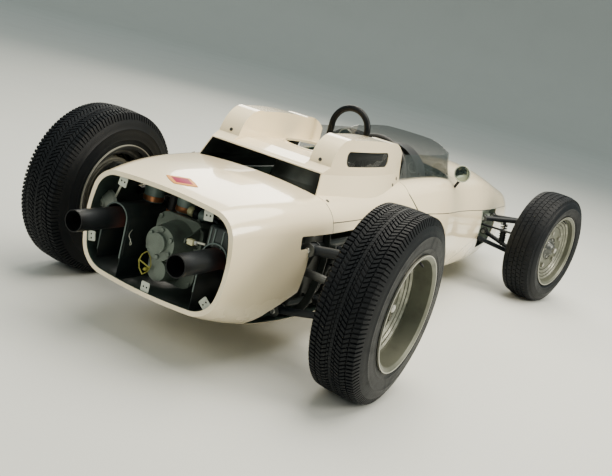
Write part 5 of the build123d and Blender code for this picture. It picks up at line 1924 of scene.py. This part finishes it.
@dataclass
class FrontCornerDress:
    """Nuts on the kingpins and on the pins of the rods."""

    arm: float = 0.150
    pin_top: float = 0.365

    def build(self) -> None:
        """Builds the nuts of both sides."""
        turn = math.radians(PARKED_STEER)
        pin_x, king_y = KINGPIN[0] - self.arm * math.cos(turn), KINGPIN[1]
        for name, side in SIDES:
            pin = shift(pin_x, side * king_y - self.arm * math.sin(turn), self.pin_top)
            nut = Bench.joined(f"rod_nut_{name}", [(Bench.bolt("nut", 0.013, 0.009), Paint.WIRE)], pin)
            Bench.done(nut, "dark_steel", body=f"steering_knuckle_{name}")
            low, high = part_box(f"front_arms_{name}")
            caps = [(Bench.moved(Bench.bolt("cap", 0.019, 0.011),
                                 facing((KINGPIN[0], side * king_y, z - way * SUNK), (0, 0, way))),
                     Paint.STEEL) for z, way in ((high.z, 1), (low.z, -1))]
            Bench.done(Bench.joined(f"kingpin_nuts_{name}", caps), "dark_steel")


@dataclass(frozen=True)
class Pivot:
    """Where an arm's inner end meets the frame on the left, and the radius of its bush."""

    x: float
    y: float
    z: float
    radius: float


@dataclass
class ArmPivots:
    """The bushes with cheeks and bolts at the inner ends of the suspension arms."""

    front: tuple[Pivot, ...] = (
        Pivot(1.1485, 0.3010, 0.2792, 0.0165), Pivot(0.8705, 0.3190, 0.2793, 0.0165),
        Pivot(0.8745, 0.3450, 0.3950, 0.0190), Pivot(1.1470, 0.3270, 0.3822, 0.0165))
    rear: tuple[Pivot, ...] = (
        Pivot(-1.2949, 0.2940, 0.1822, 0.0165), Pivot(-1.0345, 0.3010, 0.1803, 0.0165),
        Pivot(-1.2950, 0.3625, 0.4336, 0.0215))
    half: float = 0.022
    cheek: float = 0.004
    slope: float = 0.076

    def pivot(self, radius: float) -> Piece:
        """One bush along Z with its cheeks, bolt head and nut.

        Args:
            radius: the bush's radius.

        Returns:
            The pivot at the origin.
        """
        bush = Bench.cylinder("bush", radius, 2 * self.half)
        Bench.apply(bush, "BEVEL", width=0.002, segments=2, limit_method="ANGLE")
        parts = [(bush, Paint.SATIN_BLACK)]
        for way in (1, -1):
            cheek = Bench.cylinder("cheek", radius + 0.0035, self.cheek, way * (self.half + self.cheek / 2))
            Bench.apply(cheek, "BEVEL", width=0.0008, segments=1, limit_method="ANGLE")
            head = Bench.moved(Bench.bolt("head", 0.0105, 0.007),
                               facing((0, 0, way * (self.half + self.cheek - SUNK)), (0, 0, way)))
            parts += [(cheek, Paint.STEEL), (head, Paint.ZINC)]
        return Bench.joined("pivot", parts)

    def build(self) -> None:
        """Builds the pivots of both ends on both sides."""
        for end, places, slope in (("front", self.front, self.slope), ("rear", self.rear, 0.0)):
            for name, side in SIDES:
                way = (1, -side * slope, 0)
                parts = [(Bench.moved(self.pivot(place.radius),
                                      facing((place.x, side * place.y, place.z), way)), None)
                         for place in places]
                Bench.done(Bench.joined(f"arm_pivots_{end}_{name}", parts), "dark_steel", 30.0)


@dataclass(frozen=True)
class Dial:
    """One instrument: its place on the dash, its radius and where its needle points."""

    y: float
    z: float
    radius: float
    needle: float


@dataclass
class CockpitDress:
    """Dials, the soft seat pad, the steering wheel's finish and the screws of the screen."""

    dash_x: float = 0.1889
    dials: tuple[Dial, ...] = (Dial(0.0, 0.652, 0.046, 130.0), Dial(0.098, 0.632, 0.030, 60.0),
                               Dial(-0.098, 0.632, 0.030, 100.0))
    screen_screws: tuple[float, ...] = (-0.37, -0.28, -0.19, -0.10, -0.01, 0.08, 0.17)
    screw_from: Flat = (0.5, 0.655)
    pad_outline: tuple[Flat, ...] = ((-0.362, 0.592), (-0.300, 0.1125), (0.086, 0.1125), (0.094, 0.134),
                                     (-0.270, 0.136), (-0.330, 0.596))
    pad_half: float = 0.194
    pad_grow: float = 0.004
    pad_pressure: float = 4.0
    pad_frames: int = 20
    pleat: float = 0.048
    pleat_depth: float = 0.0045
    pleat_width: float = 0.0042

    def dial(self, dial: Dial) -> Piece:
        """One dial: a rolled bezel, a face with plain marks, and a needle.

        Args:
            dial: its place and sizes.

        Returns:
            The dial in its place.
        """
        r = dial.radius
        bezel = Bench.lathe("bezel", ((r - 0.005, 0.001), (r, 0.0), (r, 0.008), (r - 0.0015, 0.011),
                                      (r - 0.004, 0.011), (r - 0.005, 0.008)), 40, closed=True)
        face = Bench.lathe("face", ((0.0, 0.0045), (r - 0.0045, 0.0045), (r - 0.0045, 0.0), (0.0, 0.0)), 40)
        mark = Bench.ring(Bench.cube("mark", (r * 0.16, 0.0014, 0.0008), (r * 0.70, 0, 0.0048)), 11,
                          math.radians(27))
        Bench.moved(mark, turned(-45))
        needle = Bench.slab("needle", ((-r * 0.16, -0.0012), (r * 0.62, -0.0004), (r * 0.62, 0.0004),
                                       (-r * 0.16, 0.0012)), 0.0008)
        Bench.moved(needle, turned(dial.needle) @ shift(0, 0, 0.0056))
        boss = Bench.moved(Bench.bolt("boss", 0.004, 0.002, 12), shift(0, 0, 0.0045))
        parts = ((bezel, Paint.BRIGHT), (face, Paint.DIAL), (mark, Paint.MARK), (needle, Paint.MARK),
                 (boss, Paint.DIAL))
        return Bench.joined("dial", parts, facing((self.dash_x, dial.y, dial.z), (-1, 0, 0)))

    def swell(self, pad: Piece) -> None:
        """Lets the foam swell in a cloth simulation, by no more than its allowance.

        Args:
            pad: the pad.
        """
        start = [vertex.co.copy() for vertex in pad.data.vertices]
        Bench.only(pad)
        cloth = pad.modifiers.new("foam", "CLOTH")
        cloth.settings.use_pressure = True
        cloth.settings.uniform_pressure_force = self.pad_pressure
        cloth.settings.effector_weights.gravity = 0.0
        for number in range(1, self.pad_frames + 1):
            bpy.context.scene.frame_set(number)
        bpy.ops.object.modifier_apply(modifier=cloth.name)
        for vertex, before in zip(pad.data.vertices, start):
            step = vertex.co - before
            if step.length > self.pad_grow:
                vertex.co = before + step.normalized() * self.pad_grow
        bpy.context.scene.frame_set(1)

    def pad(self) -> None:
        """The seat pad: an L of foam that swells and is then pleated."""
        pad = Bench.slab("seat_cushion", self.pad_outline, 2 * self.pad_half)
        Bench.moved(pad, turned(90, "X"))
        Bench.apply(pad, "BEVEL", width=0.010, segments=2)
        Bench.apply(pad, "REMESH", mode="VOXEL", voxel_size=0.008)
        self.swell(pad)
        Bench.apply(pad, "SUBSURF", levels=1, render_levels=1)
        normals = [vertex.normal.copy() for vertex in pad.data.vertices]
        for vertex, normal in zip(pad.data.vertices, normals):
            nearest = abs((vertex.co.y + self.pleat / 2) % self.pleat - self.pleat / 2)
            vertex.co -= normal * self.pleat_depth * math.exp(-(nearest / self.pleat_width) ** 2)
        Bench.done(Bench.painted(pad, PadLeather("seat_leather")), "seat_leather", 60.0)
        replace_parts(pad, "seat_pad")

    def build(self) -> None:
        """Dresses the cockpit."""
        dials = Bench.joined("dash_dials", [(self.dial(dial), None) for dial in self.dials])
        Bench.done(dials, "dash_black", 30.0)
        self.pad()
        lines = [((x, *self.screw_from), (0, -1, 0)) for x in self.screen_screws]
        heads = Bench.copies(Bench.bolt("screw", 0.0048, 0.0018, 12),
                             Skin("windscreen").seats(lines, SUNK_LITTLE))
        Bench.done(Bench.joined("screen_screws", [(head, Paint.SCREW) for head in heads]), "dark_steel")
        dress("windscreen", SmokySheet("smoky_sheet"))
        dress("steering_wheel", GripAndSpokes("steering_wheel_finish", (-0.120, 0.0, 0.585),
                                              (0.98981, 0.0, -0.14238)))


@dataclass
class MirrorDress:
    """The glass and the pale rolled rim of each mirror."""

    place: Point = (0.225, 0.340, 0.670)
    radius: float = 0.0405
    roll: float = 0.0026

    def build(self) -> None:
        """Builds both mirrors' faces."""
        x, y, z = self.place
        ring = [(self.radius + self.roll * math.cos(math.pi * i / 4), self.roll * math.sin(math.pi * i / 4))
                for i in range(8)]
        pane = ((0.0, 0.0012), (0.015, 0.0009), (0.030, 0.0001), (0.0385, -0.001), (0.0385, -0.0045),
                (0.0, -0.0045))
        for name, side in SIDES:
            parts = ((Bench.lathe("rim", ring, 48, closed=True), Paint.TAB),
                     (Bench.lathe("glass", pane, 48), Paint.GLASS))
            place = facing((x - SUNK_LITTLE, side * y, z), (-1, 0, 0))
            Bench.done(Bench.joined(f"mirror_face_{name}", parts, place), "mirror_case", 40.0)


CARRIED_OVER = {
    Paint.TAB: ("tail_tabs",),
    Paint.CASTING: ("engine_block", "steering_box"),
    Paint.FAN: ("fan_housing", "cooling_fan"),
    Paint.GEARBOX: ("gearbox",),
    Paint.SHROUD: ("heat_shrouds",),
    Paint.CAN: ("canisters",),
    Paint.STEEL: ("rear_carriers", "driveshaft_left", "driveshaft_right"),
    Paint.SATIN_BLACK: ("rear_arms", "knuckle_left", "knuckle_right", "front_arms_left", "front_arms_right",
                        "drop_arm", "tie_rod_left", "tie_rod_right"),
    Paint.SEAT_SHELL: ("seat",),
    Paint.DASH: ("dashboard",),
    Paint.HOOP_BLACK: ("mirrors", "roll_hoop"),
    Paint.COOLER: ("oil_cooler",),
}


def paired(place: float, width: float, slant: float, *shares: float) -> tuple[TreadRow, TreadRow]:
    """A row of the tread and its mirror row."""
    return TreadRow(place, width, slant, *shares), TreadRow(-place, width, -slant, *shares)


REAR_ROWS = (
    TreadRow(0.0, 0.011, 0.0, 0.93),
    *paired(0.0105, 0.007, 0.005, 0.64, 0.3), *paired(0.0245, 0.017, 0.012, 0.66),
    *paired(0.0440, 0.018, -0.012, 0.66), *paired(0.0675, 0.021, -0.004, 0.60, 0.4),
    *paired(0.0848, 0.0115, -0.002, 0.60, 0.28),
)
FRONT_ROWS = (
    TreadRow(0.0, 0.022, 0.0, 0.93),
    *paired(0.0275, 0.024, 0.004, 0.92, 0.5), *paired(0.0640, 0.032, 0.003, 0.86),
)


def main() -> None:
    """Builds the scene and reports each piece."""
    logging.basicConfig(level=logging.INFO, format="%(name)s: %(message)s")
    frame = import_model()
    CAD.update(frame["nodes"])
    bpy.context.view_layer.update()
    camera = PhotoCamera()
    camera.build()
    Studio().build()
    for paint, nodes in CARRIED_OVER.items():
        for node in nodes:
            dress(node, paint)
    BodyDress(camera).build()
    for corner in CORNERS:
        if corner.front:
            Tyre(corner, FRONT_RADIUS, 0.099, 0.078, 74, FRONT_ROWS, groove=0.0035).build()
            WheelDress(corner, 0.034, 0.091).build()
        else:
            Tyre(corner, REAR_RADIUS, 0.101, 0.092, 128, REAR_ROWS, groove=0.006).build()
            WheelDress(corner, 0.002, 0.105).build()
    for part in (FootboxLiner(), DeckDress(), TailDress(), DamperSet(), FrontCornerDress(), ArmPivots(),
                 CockpitDress(), MirrorDress()):
        part.build()


if __name__ == "__main__":
    main()
